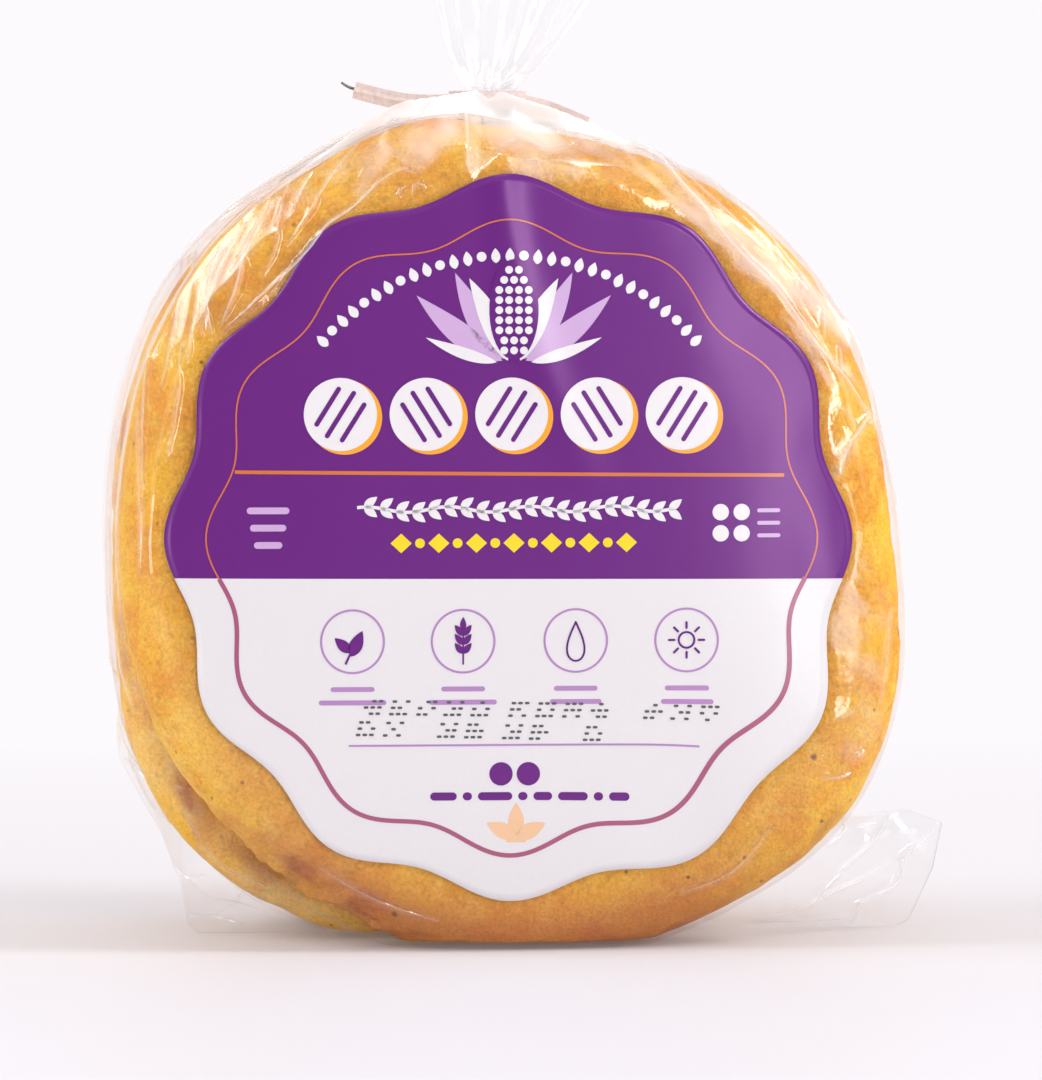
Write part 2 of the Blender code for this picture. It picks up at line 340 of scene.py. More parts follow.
def film_material():
    """Clear film: what lies behind shows through, and it mirrors the lights more towards its edges."""
    material, tree, shader = new_material("clear_film")
    where = place_at(tree)
    # milky film, plus painted highlights on fold crests and the upper left facets, drawn as diffuse white
    haze_and_highlight = add(tree, "Attribute", {"attribute_name": "haze_and_highlight"}).outputs["Fac"]
    facing = add(tree, "LayerWeight", Blend=0.5).outputs["Facing"]
    edge = math_node(tree, "POWER", facing, 4.0)
    mirror = math_node(tree, "MULTIPLY_ADD", edge, 0.62)
    mirror.node.inputs[2].default_value = 0.042
    fade = add(tree, "Attribute", {"attribute_name": "fade"}).outputs["Fac"]
    kept = math_node(tree, "SUBTRACT", 1.0, fade)
    seen = math_node(tree, "ADD", math_node(tree, "MULTIPLY", mirror, kept), haze_and_highlight, clamp=True)
    shader.inputs["Base Color"].default_value = (0.97, 0.95, 0.96, 1)
    clearness = math_node(tree, "SUBTRACT", 1.0, math_node(tree, "MULTIPLY", haze_and_highlight, 2.6, clamp=True))
    connect(tree, shader.inputs["Metallic"], clearness)
    rough = math_node(tree, "MULTIPLY_ADD", haze_and_highlight, 1.8)
    rough.node.inputs[2].default_value = 0.075
    connect(tree, shader.inputs["Roughness"], rough)
    fine = noise_node(tree, where, 0.0035, 3, 0.55)
    bumped = add(tree, "Bump", Strength=0.35, Distance=0.0003, Height=fine)
    connect(tree, shader.inputs["Normal"], bumped.outputs[0])
    clear = add(tree, "BsdfTransparent")
    both = add(tree, "MixShader", Fac=seen)
    connect(tree, both.inputs[1], clear.outputs[0])
    connect(tree, both.inputs[2], shader.outputs[0])
    connect(tree, tree.nodes["Material Output"].inputs["Surface"], both.outputs[0])
    return material


def ink_material(name, colour, roughness=0.235, sheen=(1, 1, 1)):
    """Print on satin label stock, with faint cloudiness and a slight unevenness of the sheet."""
    material, tree, shader = new_material(name)
    where = place_at(tree)
    cloud = noise_node(tree, where, 0.008, 2)
    speckle = noise_node(tree, where, 0.0003, 1)
    shaded = ramp(tree, speckle, (0.2, 0.97), (0.8, 1.0))
    connect(tree, shader.inputs["Base Color"], mix_colour(tree, 1.0, (*colour, 1), shaded, "MULTIPLY"))
    connect(tree, shader.inputs["Roughness"], ramp(tree, cloud, (0.2, roughness), (0.8, roughness + 0.025)))
    shader.inputs["Specular IOR Level"].default_value = 0.42
    shader.inputs["Specular Tint"].default_value = (*sheen, 1)
    waves = noise_node(tree, where, 0.0045, 2, 0.5)
    bumped = add(tree, "Bump", Strength=0.10, Distance=0.0003, Height=waves)
    connect(tree, shader.inputs["Normal"], bumped.outputs[0])
    return material


def tie_material():
    material, tree, shader = new_material("tie_strip")
    where = place_at(tree)
    fibre = noise_node(tree, where, 0.0006, 3, 0.6)
    colour = ramp(tree, fibre, (0.3, (0.64, 0.50, 0.465)), (0.7, (0.75, 0.64, 0.60)))
    connect(tree, shader.inputs["Base Color"], colour)
    connect(tree, shader.inputs["Roughness"], ramp(tree, fibre, (0.3, 0.42), (0.7, 0.6)))
    bumped = add(tree, "Bump", Strength=0.2, Distance=0.0001, Height=fibre)
    connect(tree, shader.inputs["Normal"], bumped.outputs[0])
    return material


def wire_material():
    material, tree, shader = new_material("steel_wire")
    scratches = noise_node(tree, place_at(tree), 0.0003, 2)
    shader.inputs["Metallic"].default_value = 1.0
    connect(tree, shader.inputs["Base Color"], ramp(tree, scratches, (0.3, (0.16, 0.15, 0.15)), (0.7, (0.34, 0.32, 0.31))))
    connect(tree, shader.inputs["Roughness"], ramp(tree, scratches, (0.3, 0.3), (0.7, 0.5)))
    return material


# ---------------------------------------------------------------- cakes


def cake_shares(fine):
    """Shares of the radius from a face's centre to the rim. A hidden face gets few."""
    inner = np.linspace(0.012, 0.80, 44 if fine else 8)
    shoulder = SHOULDER_START + (1 - SHOULDER_START) * np.sin(np.linspace(0, math.pi / 2, 22)[1:])
    return np.concatenate([inner, np.linspace(0.80, SHOULDER_START, 9)[1:], shoulder])


def make_cake(index, material):
    """One cake on edge: a pillowy disc with grainy relief, a crumbly rim and a browned face."""
    inset = 0.0005
    half = CAKE_THICKNESS / 2 - 0.0002
    front = cake_shares(index == 0)
    back = cake_shares(index == CAKE_COUNT - 1)[::-1][1:]
    shares = np.concatenate([front, back])
    side = np.concatenate([-np.ones(len(front)), np.ones(len(back))])
    around = 480
    angle = np.linspace(0, math.tau, around, endpoint=False)
    share, turn = np.meshgrid(shares, angle, indexing="ij")
    facing = np.repeat(side[:, None], around, axis=1)
    arc = np.clip((share - SHOULDER_START) / (1 - SHOULDER_START), 0, 1)
    radius = (rim_radius(turn, SAG_RIGHT[index], SAG_LEFT[index]) - inset) * share
    pressed = (facing > 0) if index == 0 else (facing < 0)
    power = 2.0 + 1.6 * bump(turn, math.radians(-125), math.radians(42)) * (pressed & (index < 2))
    lift = half * (1 - arc**power) ** (1 / power)
    if index in (0, CAKE_COUNT - 1):
        lift = lift + (FACE_DOME - 0.0003) * (1 - share**4)
    points = np.stack([radius * np.sin(turn), CAKE_PLANES[index] + facing * lift, CENTRE_HEIGHT + radius * np.cos(turn)], -1)
    normal = grid_normals(points)
    if normal[len(front) - 1, 0] @ np.array([0, 0, 1]) < 0:
        normal = -normal
    shift = np.array([index * 0.31, index * 0.17, index * 0.23])
    where = points + shift
    rim = smooth_step(0.80, 1.0, share)
    lumps = 0.00045 * layered(where, 0.016, 2, 3) + 0.00022 * layered(where, 0.005, 2, 5)
    grain = 0.00010 * layered(where, 0.0016, 2, 9)
    crumbs = 0.00030 * rim * np.maximum(0, layered(where, 0.0022, 3, 21)) * smooth_step(0.0, 0.5, layered(where, 0.012, 2, 31) + 0.1)
    height = lumps * (0.35 + 0.65 * rim) + grain + crumbs - 0.0002
    inner = (facing > 0) & (index < CAKE_COUNT - 1) | (facing < 0) & (index > 0)
    hidden = inner * smooth_step(0.86, 0.80, share)
    height = height * (1 - hidden) + 0.00014 * hidden
    if index == 0:
        torn = bump(turn, math.radians(-154), math.radians(22)) * smooth_step(0.86, 0.97, share)
        height = height - torn * (0.0007 + 0.0013 * layered(where, 0.0030, 3, 41, 0.6, True))
    points = points + normal * height[..., None]
    points[..., 2] = np.maximum(points[..., 2], FLOOR_GAP + 0.0008 + 0.0002 * rim * layered(where, 0.003, 2, 51))
    toast = (1 - smooth_step(0.84, 0.985, share)) * (0.72 + 0.28 * layered(where, 0.02, 2, 61))
    toast += 0.35 * smooth_step(0.1, 0.6, layered(where, 0.009, 3, 71)) * rim
    # painted light: a pale patch low on the left, mostly on the cakes behind the first, standing in for the floor's
    # bounce and the low left lamps
    painted_pale_light = 0.95 * bump(turn, math.radians(-137), math.radians(27)) * (1.0 if index else 0.4 * rim)
    painted_pale_light = painted_pale_light * smooth_step(-0.7, 0.3, layered(where, 0.008, 2, 77)) * smooth_step(0.72, 0.92, share)
    # painted light: less browning low on the left of the cakes behind the first, which lightens that shaded groove
    if index > 0:
        toast = toast * (1 - 0.75 * bump(turn, math.radians(-130), math.radians(50)))
    scorch_and_shade = scorch_and_under_shade(index, turn, share, where)
    rows = len(shares)
    faces = grid_faces(rows, around, True).tolist()
    flat = points.reshape(-1, 3)
    ends = [flat[:around].mean(0), flat[-around:].mean(0)]
    last = rows * around
    for i in range(around):
        faces.append([(i + 1) % around, i, last])
        faces.append([last - around + i, last - around + (i + 1) % around, last + 1])
    flat = np.vstack([flat, ends])
    toast = np.append(toast.ravel(), [0.8, 0.8])
    scorch_and_shade = np.append(scorch_and_shade.ravel(), [0.0, 0.0])
    painted_pale_light = np.append(np.broadcast_to(painted_pale_light, turn.shape).ravel(), [0.0, 0.0])
    looks = {"toast": np.clip(toast, 0, 1), "scorch_and_shade": scorch_and_shade, "painted_pale_light": painted_pale_light}
    obj = make_object(f"cake_{index + 1}", flat, faces, material, looks)
    settle_normals(obj)
    return obj


def scorch_and_under_shade(index, turn, share, where):
    """Browned patches of the griddle, most of them low on the left where two cakes meet, plus painted shade that
    darkens the undersides, most on the first cake.
    """
    rim = smooth_step(0.86, 0.97, share)
    cloud = smooth_step(-0.3, 0.35, layered(where, 0.005, 3, 81))
    cloud = 0.45 + 0.55 * cloud if index else cloud
    marks = np.zeros(turn.shape)
    for degrees, spread, strength in ((-99, 4, 0.6), (-113, 5, 0.95), (-131, 4.5, 0.95), (-148, 6, 0.9)):
        marks = np.maximum(marks, strength * bump(turn, math.radians(degrees), math.radians(spread)))
    marks *= (0.12, 1.0, 0.3, 0.2)[index]
    ahead = CAKE_PLANES[index] - (where[..., 1] - index * 0.17)
    marks *= smooth_step(-0.0005, 0.002, ahead)
    groove = smooth_step(0.87, 0.90, share) * smooth_step(0.965, 0.93, share) if index else rim
    spots = smooth_step(0.38, 0.72, layered(where, 0.0075, 2, 91)) * (0.25 + 0.2 * rim)
    # painted shade: darkens the lower rim towards the floor, strongly on the first cake and faintly on the others
    under = smooth_step(-0.62, -1.0, np.cos(turn)) * smooth_step(0.80, 0.93, share) * (0.80 if index == 0 else 0.15)
    return np.clip(groove * cloud * marks + spots + under, 0, 0.9)


def settle_normals(obj):
    bm = bmesh.new()
    bm.from_mesh(obj.data)
    bmesh.ops.recalc_face_normals(bm, faces=bm.faces)
    bm.to_mesh(obj.data)
    bm.free()
    obj.data.shade_smooth()


# ---------------------------------------------------------------- film


class Sheet:
    """A grid of points with a measure for each row and column, which folds can be laid on."""

    def __init__(self, points, rows, columns):
        self.points = points
        self.rows = np.asarray(rows, float)
        self.columns = np.asarray(columns, float)

    def at(self, row, column):
        """The point at a row and a column measure, read between grid points."""
        i = np.interp(row, self.rows, np.arange(len(self.rows)))
        j = np.interp(column, self.columns, np.arange(len(self.columns)))
        low_i = np.clip(i.astype(int), 0, len(self.rows) - 2)
        low_j = np.clip(j.astype(int), 0, len(self.columns) - 2)
        u, v = (i - low_i)[..., None], (j - low_j)[..., None]
        near = self.points[low_i, low_j] * (1 - v) + self.points[low_i, low_j + 1] * v
        far = self.points[low_i + 1, low_j] * (1 - v) + self.points[low_i + 1, low_j + 1] * v
        return near * (1 - u) + far * u

    def slopes(self, row, column, step_row, step_column):
        by_row = (self.at(row + step_row, column) - self.at(row - step_row, column)) / (2 * step_row)
        by_column = (self.at(row, column + step_column) - self.at(row, column - step_column)) / (2 * step_column)
        return by_row, by_column


ACROSS = np.array((-3.0, -1.8, -1.0, -0.5, -0.2, 0.0, 0.2, 0.5, 1.0, 1.8, 3.0))


def smooth_route(route, count):
    """Points along a smooth curve through the route."""
    route = np.asarray(route, float)
    padded = np.vstack([2 * route[0] - route[1], route, 2 * route[-1] - route[-2]])
    spans = len(route) - 1
    t = np.linspace(0, spans, count)
    span = np.minimum(t.astype(int), spans - 1)
    u = (t - span)[:, None]
    a, b, c, d = (padded[span + k] for k in range(4))
    return 0.5 * (2 * b + (c - a) * u + (2 * a - 5 * b + 4 * c - d) * u**2 + (3 * b - a - 3 * c + d) * u**3)


def fold_strip(sheet, route, height, width, lean, steps):
    """A sharp pinched fold along a route of (column, row) measures: points, faces, haze with a painted highlight on
    its crest, and fade.
    """
    rough = smooth_route(route, 40)
    spots = sheet.at(rough[:, 1], rough[:, 0])
    length = np.concatenate([[0], np.cumsum(np.linalg.norm(np.diff(spots, axis=0), axis=1))])
    count = max(8, int(length[-1] / 0.0005))
    even = np.linspace(0, length[-1], count)
    column = np.interp(even, length, rough[:, 0])
    row = np.interp(even, length, rough[:, 1])
    middle = sheet.at(row, column)
    run = np.gradient(middle, axis=0)
    run /= np.maximum(np.linalg.norm(run, axis=1, keepdims=True), 1e-9)
    by_row, by_column = sheet.slopes(row, column, *steps)
    normal = np.cross(by_column, by_row)
    normal /= np.maximum(np.linalg.norm(normal, axis=1, keepdims=True), 1e-9)
    side = np.cross(normal, run)
    rr, cc, rc = (by_row**2).sum(1), (by_column**2).sum(1), (by_row * by_column).sum(1)
    sr, sc = (side * by_row).sum(1), (side * by_column).sum(1)
    whole = np.maximum(rr * cc - rc**2, 1e-18)
    step_row, step_column = (sr * cc - sc * rc) / whole, (sc * rr - sr * rc) / whole
    ends = np.sin(math.pi * np.linspace(0.02, 0.98, count)) ** 0.45
    waver = 1 + 0.35 * noise(middle + height, 0.004, 5)
    lines, haze_and_highlight, fade = [], [], []
    floor = math.exp(-3.0)
    for share in ACROSS:
        away = share * width * (0.6 + 0.4 * ends)
        rise = (math.exp(-abs(share)) - floor) / (1 - floor)
        up = height * rise * ends * waver
        point = sheet.at(row + step_row * away, column + step_column * away)
        lines.append(point + normal * (up + 0.00003)[:, None] + side * (up * lean)[:, None])
        # painted highlight: the crest turns whiter the taller the fold, partly real whitening of creased film
        haze_and_highlight.append(rise**3 * ends * min(0.75, height / MM * 0.62))
        fade.append(np.clip(1 - rise * 3.0 * ends, 0, 1))
    points = np.stack(lines, axis=1)
    points[..., 2] = np.maximum(points[..., 2], FLOOR_GAP)
    faces = grid_faces(count, len(ACROSS), False)
    return points.reshape(-1, 3), faces, np.stack(haze_and_highlight, 1).ravel(), np.stack(fade, 1).ravel()


def make_folds(name, sheet, folds, material, steps):
    """All folds of a sheet as one piece. A fold is (height, width, lean, route), in millimetres."""
    points, faces, haze_and_highlight, fade = [], [], [], []
    first = 0
    for height, width, lean, route in folds:
        strip = fold_strip(sheet, route, height * MM, width * MM, lean, steps)
        points.append(strip[0])
        faces.append(strip[1] + first)
        haze_and_highlight.append(strip[2])
        fade.append(strip[3])
        first += len(strip[0])
    looks = {"haze_and_highlight": np.concatenate(haze_and_highlight), "fade": np.concatenate(fade)}
    return make_object(name, np.vstack(points), np.vstack(faces), material, looks)


def film_stations():
    """(share, y) along the film from the front's centre, over the rim, to the back's centre."""
    quarter = np.linspace(0, math.pi / 2, 24)[1:]
    shoulder = SHOULDER_START + (1 - SHOULDER_START) * np.sin(quarter)
    shares = np.concatenate([np.linspace(0.01, 0.72, 9), np.linspace(0.75, SHOULDER_START, 13), shoulder])
    back_shares = np.concatenate([np.linspace(0.01, SHOULDER_START, 40), shoulder[::1]])
    rim = np.concatenate([np.linspace(CAKE_PLANES[0], 0.0, 44)[1:], np.linspace(0.0, CAKE_PLANES[-1], 32)[1:-1]])
    share = np.concatenate([shares, np.ones(len(rim)), back_shares[::-1]])
    depth = np.concatenate([FIRST_PLANE - face_lift(shares), rim, CAKE_PLANES[-1] + face_lift(back_shares[::-1])])
    return share, depth


def film_reach(share, depth):
    """Length along the film in millimetres: 0 at the first cake's widest line, negative on the front."""
    steps = np.hypot(np.diff(share) * RADIUS, np.diff(depth))
    length = np.concatenate([[0], np.cumsum(steps)])
    rim_line = np.interp(CAKE_PLANES[0], depth[:80], length[:80])
    return (length - rim_line) / MM


FRONT_SHARE, FRONT_DEPTH = film_stations()
FILM_REACH = film_reach(FRONT_SHARE, FRONT_DEPTH)


def on_front(route):
    """Turns (degrees, millimetres from the stack's axis, seen from the front) into (degrees, reach)."""
    front = FRONT_DEPTH <= CAKE_PLANES[0] + 1e-9
    made = []
    for degrees, radius in route:
        share = radius * MM / rim_radius(math.radians(degrees), SAG_RIGHT[0], SAG_LEFT[0])
        made.append((degrees, float(np.interp(min(share, 1.0), FRONT_SHARE[front], FILM_REACH[front]))))
    return tuple(made)


def film_folds():
    """Pinched folds, as (height, width, lean, route): first those over the front, then the neck's and the back's."""
    front = (
        # along the label's upper left edge
        (0.75, 0.42, 0.5, ((-13.5, 47.9), (-17, 49.0), (-24, 47.1), (-30, 46.5), (-35, 45.2), (-41, 44.4), (-48, 44.4), (-53, 45.0))),
        (0.34, 0.35, 0.3, ((-18, 45.9), (-16, 47.0))),
        (0.40, 0.30, 0.3, ((-15.5, 45.6), (-14.2, 46.8), (-13, 45.8))),
        # down the left shoulder
        (0.55, 0.45, 0.3, ((-27.5, 52.6), (-31, 50.8), (-33, 49.4))),
        (0.34, 0.55, 0.2, ((-31, 52.9), (-35, 50.0), (-38, 47.5), (-43, 45.5))),
        (0.70, 0.45, -0.4, ((-33, 52.2), (-40, 49.8), (-47, 46.9), (-53, 45.4))),
        (0.50, 0.50, 0.4, ((-40, 52.0), (-47, 50.7), (-53, 47.6), (-55, 45.8))),
        (0.50, 0.35, 0.3, ((-50, 50.5), (-54, 48.5), (-58, 47.1), (-61, 46.4))),
        (0.45, 0.45, 0.3, ((-53, 51.3), (-57, 50.0), (-62, 48.4), (-66, 47.6))),
        (0.34, 0.40, 0.0, ((-58, 48.1), (-63, 46.4), (-68, 45.2), (-76, 44.2))),
        (0.30, 0.50, 0.0, ((-70, 49.4), (-78, 47.6), (-88, 46.4), (-96, 46.8))),
        (0.45, 0.40, 0.2, ((-20, 53.4), (-26, 50.8), (-31, 48.6), (-37, 46.8))),
        (0.45, 0.45, 0.2, ((-36, 52.6), (-43, 50.9), (-51, 48.3), (-56, 46.6))),
        (0.40, 0.40, 0.2, ((-62, 50.6), (-68, 49.2), (-75, 47.6), (-82, 46.4))),
        # the facets under the neck
        (0.26, 0.45, 0.4, ((-5, 47.4), (-2, 48.7), (2, 51.0), (6, 49.9), (12, 51.9))),
        (0.38, 0.40, 0.0, ((3, 48.2), (10, 48.6), (18, 49.6))),
        # the long fold down the right shoulder and its return
        (0.85, 0.50, 0.5, ((16, 53.3), (20, 52.5), (26, 50.3), (32, 48.3), (38, 46.9), (46, 46.7), (54, 46.4), (61, 46.8), (68, 47.9), (71, 49.0))),
        (0.60, 0.60, -0.3, ((71, 49.4), (73, 47.0), (76, 44.9), (79, 43.6))),
        (0.42, 0.50, 0.3, ((20, 53.6), (28, 51.4), (35, 50.0), (42, 49.4), (48, 49.8))),
        (0.40, 0.45, 0.3, ((27, 53.2), (35, 51.9), (43, 51.0), (50, 50.4), (57, 50.2))),
        (0.45, 0.40, 0.2, ((42, 51.2), (44, 50.0), (46, 48.8))),
        (0.45, 0.35, -0.2, ((48, 50.8), (50, 49.6), (51, 48.0))),
        (0.45, 0.40, 0.2, ((54, 50.2), (56, 48.8), (58, 47.4))),
        (0.40, 0.35, 0.0, ((60, 49.2), (62, 48.2), (64, 47.2))),
        (0.45, 0.60, 0.3, ((57, 51.6), (66, 50.5), (74, 49.6))),
        # glints low on the right
        (0.50, 0.32, 0.2, ((119, 48.0), (117.5, 49.2), (116, 50.0))),
        (0.50, 0.34, -0.2, ((127.5, 50.6), (126, 52.0), (124, 53.6))),
        (0.50, 0.40, 0.0, ((122, 52.8), (120.5, 53.5))),
        (0.30, 0.55, 0.0, ((100, 50.4), (107, 51.2), (114, 52.6))),
        (0.30, 0.45, 0.0, ((137, 50.0), (146, 51.5), (154, 50.5))),
        # low on the left
        (0.26, 0.45, 0.0, ((-150, 48.0), (-160, 48.8), (-170, 49.4))),
    )
    over = (
        # from the neck over the top to the front
        (0.60, 0.35, 0.3, ((-3.4, 11), (-4.6, 5), (-5.2, 0), (-5.5, -5.2), (-6.1, -10.6))),
        (0.30, 0.60, 0.4, ((-8, 12), (-12, 5), (-15, 0.5), (-16, -2.5), (-18, -5.2), (-22, -8.2))),
        # film drawn from the second cake to the first, low on the left
        (0.70, 0.30, 0.0, ((-103, 1.0), (-109, 2.6), (-116, 4.0))),
        (0.40, 0.45, 0.3, ((-60, 3), (-74, 5), (-90, 6), (-100, 9))),
    )
    made = [(h, w, lean, on_front(route)) for h, w, lean, route in front]
    made += list(over)
    return made + neck_folds() + back_folds()


def neck_folds():
    """Folds that run out from the neck over the rim, mostly to the sides and the back."""
    picker = np.random.default_rng(11)
    made = []
    for i in range(22):
        turn = math.radians(-30 + i * 240 / 21) + picker.uniform(-0.08, 0.08)
        far = picker.uniform(0.55, 1.25) * (1 - 0.6 * bump(turn, math.pi / 2, 0.25))
        sway = picker.uniform(-5, 5)
        route = []
        for share in (0.16, 0.45, 0.75, 1.0):
            degrees = 52 * far * share * math.cos(turn) + sway * share**2
            reach = 19.2 + 21 * far * share * math.sin(turn)
            route.append((degrees, reach))
        made.append((picker.uniform(0.30, 0.62), picker.uniform(0.40, 0.60), picker.uniform(-0.4, 0.4), tuple(route)))
    return made


def back_folds():
    """Slack creases over the rim's lower sides and across the back."""
    picker = np.random.default_rng(23)
    made = []
    for i in range(22):
        side = 1 if i % 2 else -1
        degrees = side * picker.uniform(55, 165)
        reach = picker.uniform(6, 34)
        slant, drift = picker.uniform(6, 18), picker.uniform(-9, 9)
        route = ((degrees, reach), (degrees + side * slant / 2, reach + drift * 0.7), (degrees + side * slant, reach + drift))
        made.append((picker.uniform(0.20, 0.42), picker.uniform(0.35, 0.55), picker.uniform(-0.3, 0.3), route))
    for i in range(24):
        degrees = picker.uniform(-170, 170)
        reach = picker.uniform(44, 82)
        slant, drift = picker.uniform(-16, 16), picker.uniform(-9, 9)
        route = ((degrees, reach), (degrees + slant / 2, reach + drift * 0.3), (degrees + slant, reach + drift))
        made.append((picker.uniform(0.22, 0.45), picker.uniform(0.4, 0.6), picker.uniform(-0.3, 0.3), route))
    return made


def soft_ridges(degrees, reach, folds):
    """A broad low swell under each fold, over a grid of degrees and reach."""
    x = np.radians(degrees) * RADIUS / MM
    total = np.zeros(degrees.shape)
    for height, _, _, route in folds:
        spots = [(math.radians(a) * RADIUS / MM, r) for a, r in route]
        best = np.full(degrees.shape, 1e9)
        for (ax, ar), (bx, br) in zip(spots, spots[1:]):
            length = max(math.dist((ax, ar), (bx, br)), 1e-6)
            t = np.clip(((x - ax) * (bx - ax) + (reach - ar) * (br - ar)) / length**2, 0, 1)
            best = np.minimum(best, np.hypot(x - ax - t * (bx - ax), reach - ar - t * (br - ar)))
        total = np.maximum(total, 0.45 * height * np.exp(-best / 1.3))
    return total * MM


def pleats(turn):
    """The gathered film's folds round the neck, from -1 to 1, unevenly wide."""
    wave = np.sin(7 * turn + 1.1 * np.sin(2 * turn + 0.4)) + 0.6 * np.sin(13 * turn + 1.7 + 0.8 * np.sin(3 * turn))
    return np.abs(wave / 1.6) ** 0.8 * np.sign(wave)


# The tent of film between the neck and the stack: distance from the neck and height
TENT_REACH = (3.6, 5.0, 8.0, 12.0, 16.0, 19.5, 22.0, 25.0, 30.0)
TENT_LEVEL = (107.5, 106.9, 106.3, 106.0, 105.7, 105.1, 104.0, 101.5, 96.0)
TENT_LEFT = 1.3
TENT_RIGHT = 1.8
TOP_DENSITY = 0.35


# Fins of film that stand between the neck and the rim, in front of the tie: x, y and z in millimetres
FINS = (
    ((-2.0, -5.0, 110.4), (-6.5, -7.6, 109.7), (-12.0, -9.2, 108.9), (-15.5, -9.8, 107.2), (-20.0, -9.0, 103.8)),
    ((1.0, -5.3, 110.3), (3.5, -7.0, 109.4), (8.0, -9.5, 107.9), (13.0, -10.8, 105.8), (17.0, -11.5, 103.8)),
    ((-1.0, -5.0, 109.2), (-4.5, -11.0, 107.6), (-5.5, -15.5, 106.4)),
)
FIN_SLOPE = 0.75


def fin_level(x, y):
    """Height of the highest fin over x, y, in metres."""
    best = np.zeros(x.shape)
    for line in FINS:
        for (ax, ay, az), (bx, by, bz) in zip(line, line[1:]):
            run = (bx - ax) ** 2 + (by - ay) ** 2
            t = np.clip(((x / MM - ax) * (bx - ax) + (y / MM - ay) * (by - ay)) / run, 0, 1)
            away = np.hypot(x / MM - ax - t * (bx - ax), y / MM - ay - t * (by - ay))
            best = np.maximum(best, az + t * (bz - az) - FIN_SLOPE * away)
    return best * MM


# Film that lies double near the neck: haze, width, and a route of x, z in millimetres
VEILS = (
    (0.24, 1.0, ((-4.0, 108.0), (-3.9, 104.0), (-4.5, 100.6))),
    (0.11, 2.4, ((-2.2, 105.6), (-0.6, 105.0), (0.6, 104.9))),
    (0.15, 1.1, ((-4.2, 100.8), (-1.5, 102.6), (1.8, 105.2))),
    (0.20, 1.4, ((-14.2, 106.2), (-13.6, 103.4), (-12.2, 101.8), (-11.0, 101.2), (-9.4, 102.8), (-7.6, 105.6))),
    (0.10, 2.6, ((-9.4, 104.4), (-8.6, 105.0))),
    (0.18, 0.9, ((-14.4, 106.6), (-15.6, 101.8), (-18.6, 97.2))),
    (0.26, 1.7, ((2.6, 105.6), (5.4, 104.6), (9.8, 104.8))),
    (0.20, 0.9, ((2.0, 105.8), (5.5, 102.9), (10.6, 104.2))),
    (0.22, 2.4, ((11.5, 104.6), (15.0, 103.2), (19.0, 100.8))),
    (0.48, 1.8, ((13.0, 105.2), (15.8, 103.8), (23.8, 95.8), (33.9, 86.9), (41.5, 75.5), (46.0, 68.5))),
    (0.26, 0.8, ((46.6, 68.4), (43.5, 64.0), (41.0, 59.0))),
    (0.42, 2.6, ((31.5, 89.5), (36.5, 85.5), (42.0, 78.5))),
    (0.20, 2.6, ((43.6, 50.5), (44.5, 46.0), (43.6, 41.0))),
    (0.16, 2.0, ((46.0, 36.0), (47.5, 31.5), (45.0, 26.0))),
    (0.14, 1.6, ((-22.0, 99.5), (-26.5, 96.6), (-31.0, 93.0), (-38.0, 85.5))),
    (0.12, 1.3, ((-47.5, 75.0), (-49.5, 66.0), (-50.3, 56.0))),
)


def veil_haze(x, z):
    total = np.zeros(x.shape)
    for strength, width, line in VEILS:
        best = np.full(x.shape, 1e9)
        for (ax, az), (bx, bz) in zip(line, line[1:]):
            t = np.clip(((x / MM - ax) * (bx - ax) + (z / MM - az) * (bz - az)) / ((bx - ax) ** 2 + (bz - az) ** 2), 0, 1)
            best = np.minimum(best, np.hypot(x / MM - ax - t * (bx - ax), z / MM - az - t * (bz - az)))
        total = np.maximum(total, strength * (0.5 * smooth_step(1.2, 0.9, best / width) + 0.5 * np.exp(-((best / width) ** 2))))
    where = np.stack([x + z, np.zeros_like(x), 0.25 * (z - x)], -1)
    return total * smooth_step(-0.8, 0.5, layered(where, 0.003, 3, 301))


def faceted(share, depth, degrees, free):
    """Flattens the rounded shoulder into facets that touch the cake only along a line."""
    across = np.clip((share - SHOULDER_START) / (1 - SHOULDER_START), 0, 1)
    turn = np.arcsin(across)
    corner = math.sqrt(2) / (np.sin(turn) + np.cos(turn))
    outer = np.minimum(corner, np.minimum(1 / np.maximum(np.sin(turn), 0.01), 1 / np.maximum(np.cos(turn), 0.01)))
    where = np.stack([np.radians(degrees) * RADIUS, np.zeros_like(degrees), depth * 0.4], -1)
    amount = 0.45 + 0.55 * noise(where, 0.012, 201)
    amount = np.maximum(amount, bump(np.radians(degrees), 0.0, 0.32))
    amount = np.maximum(amount, 1.2 * bump(np.radians(degrees), math.radians(-47), math.radians(22)))
    grow = 1 + np.clip(amount, 0, 1) * free * (outer - 1)
    new_share = np.where(across > 0, SHOULDER_START + (1 - SHOULDER_START) * across * grow, share)
    forward = (grow - 1) * CAKE_THICKNESS / 2 * np.cos(turn) * (across > 0)
    return new_share, np.where(depth < 0, depth - forward, depth + forward)


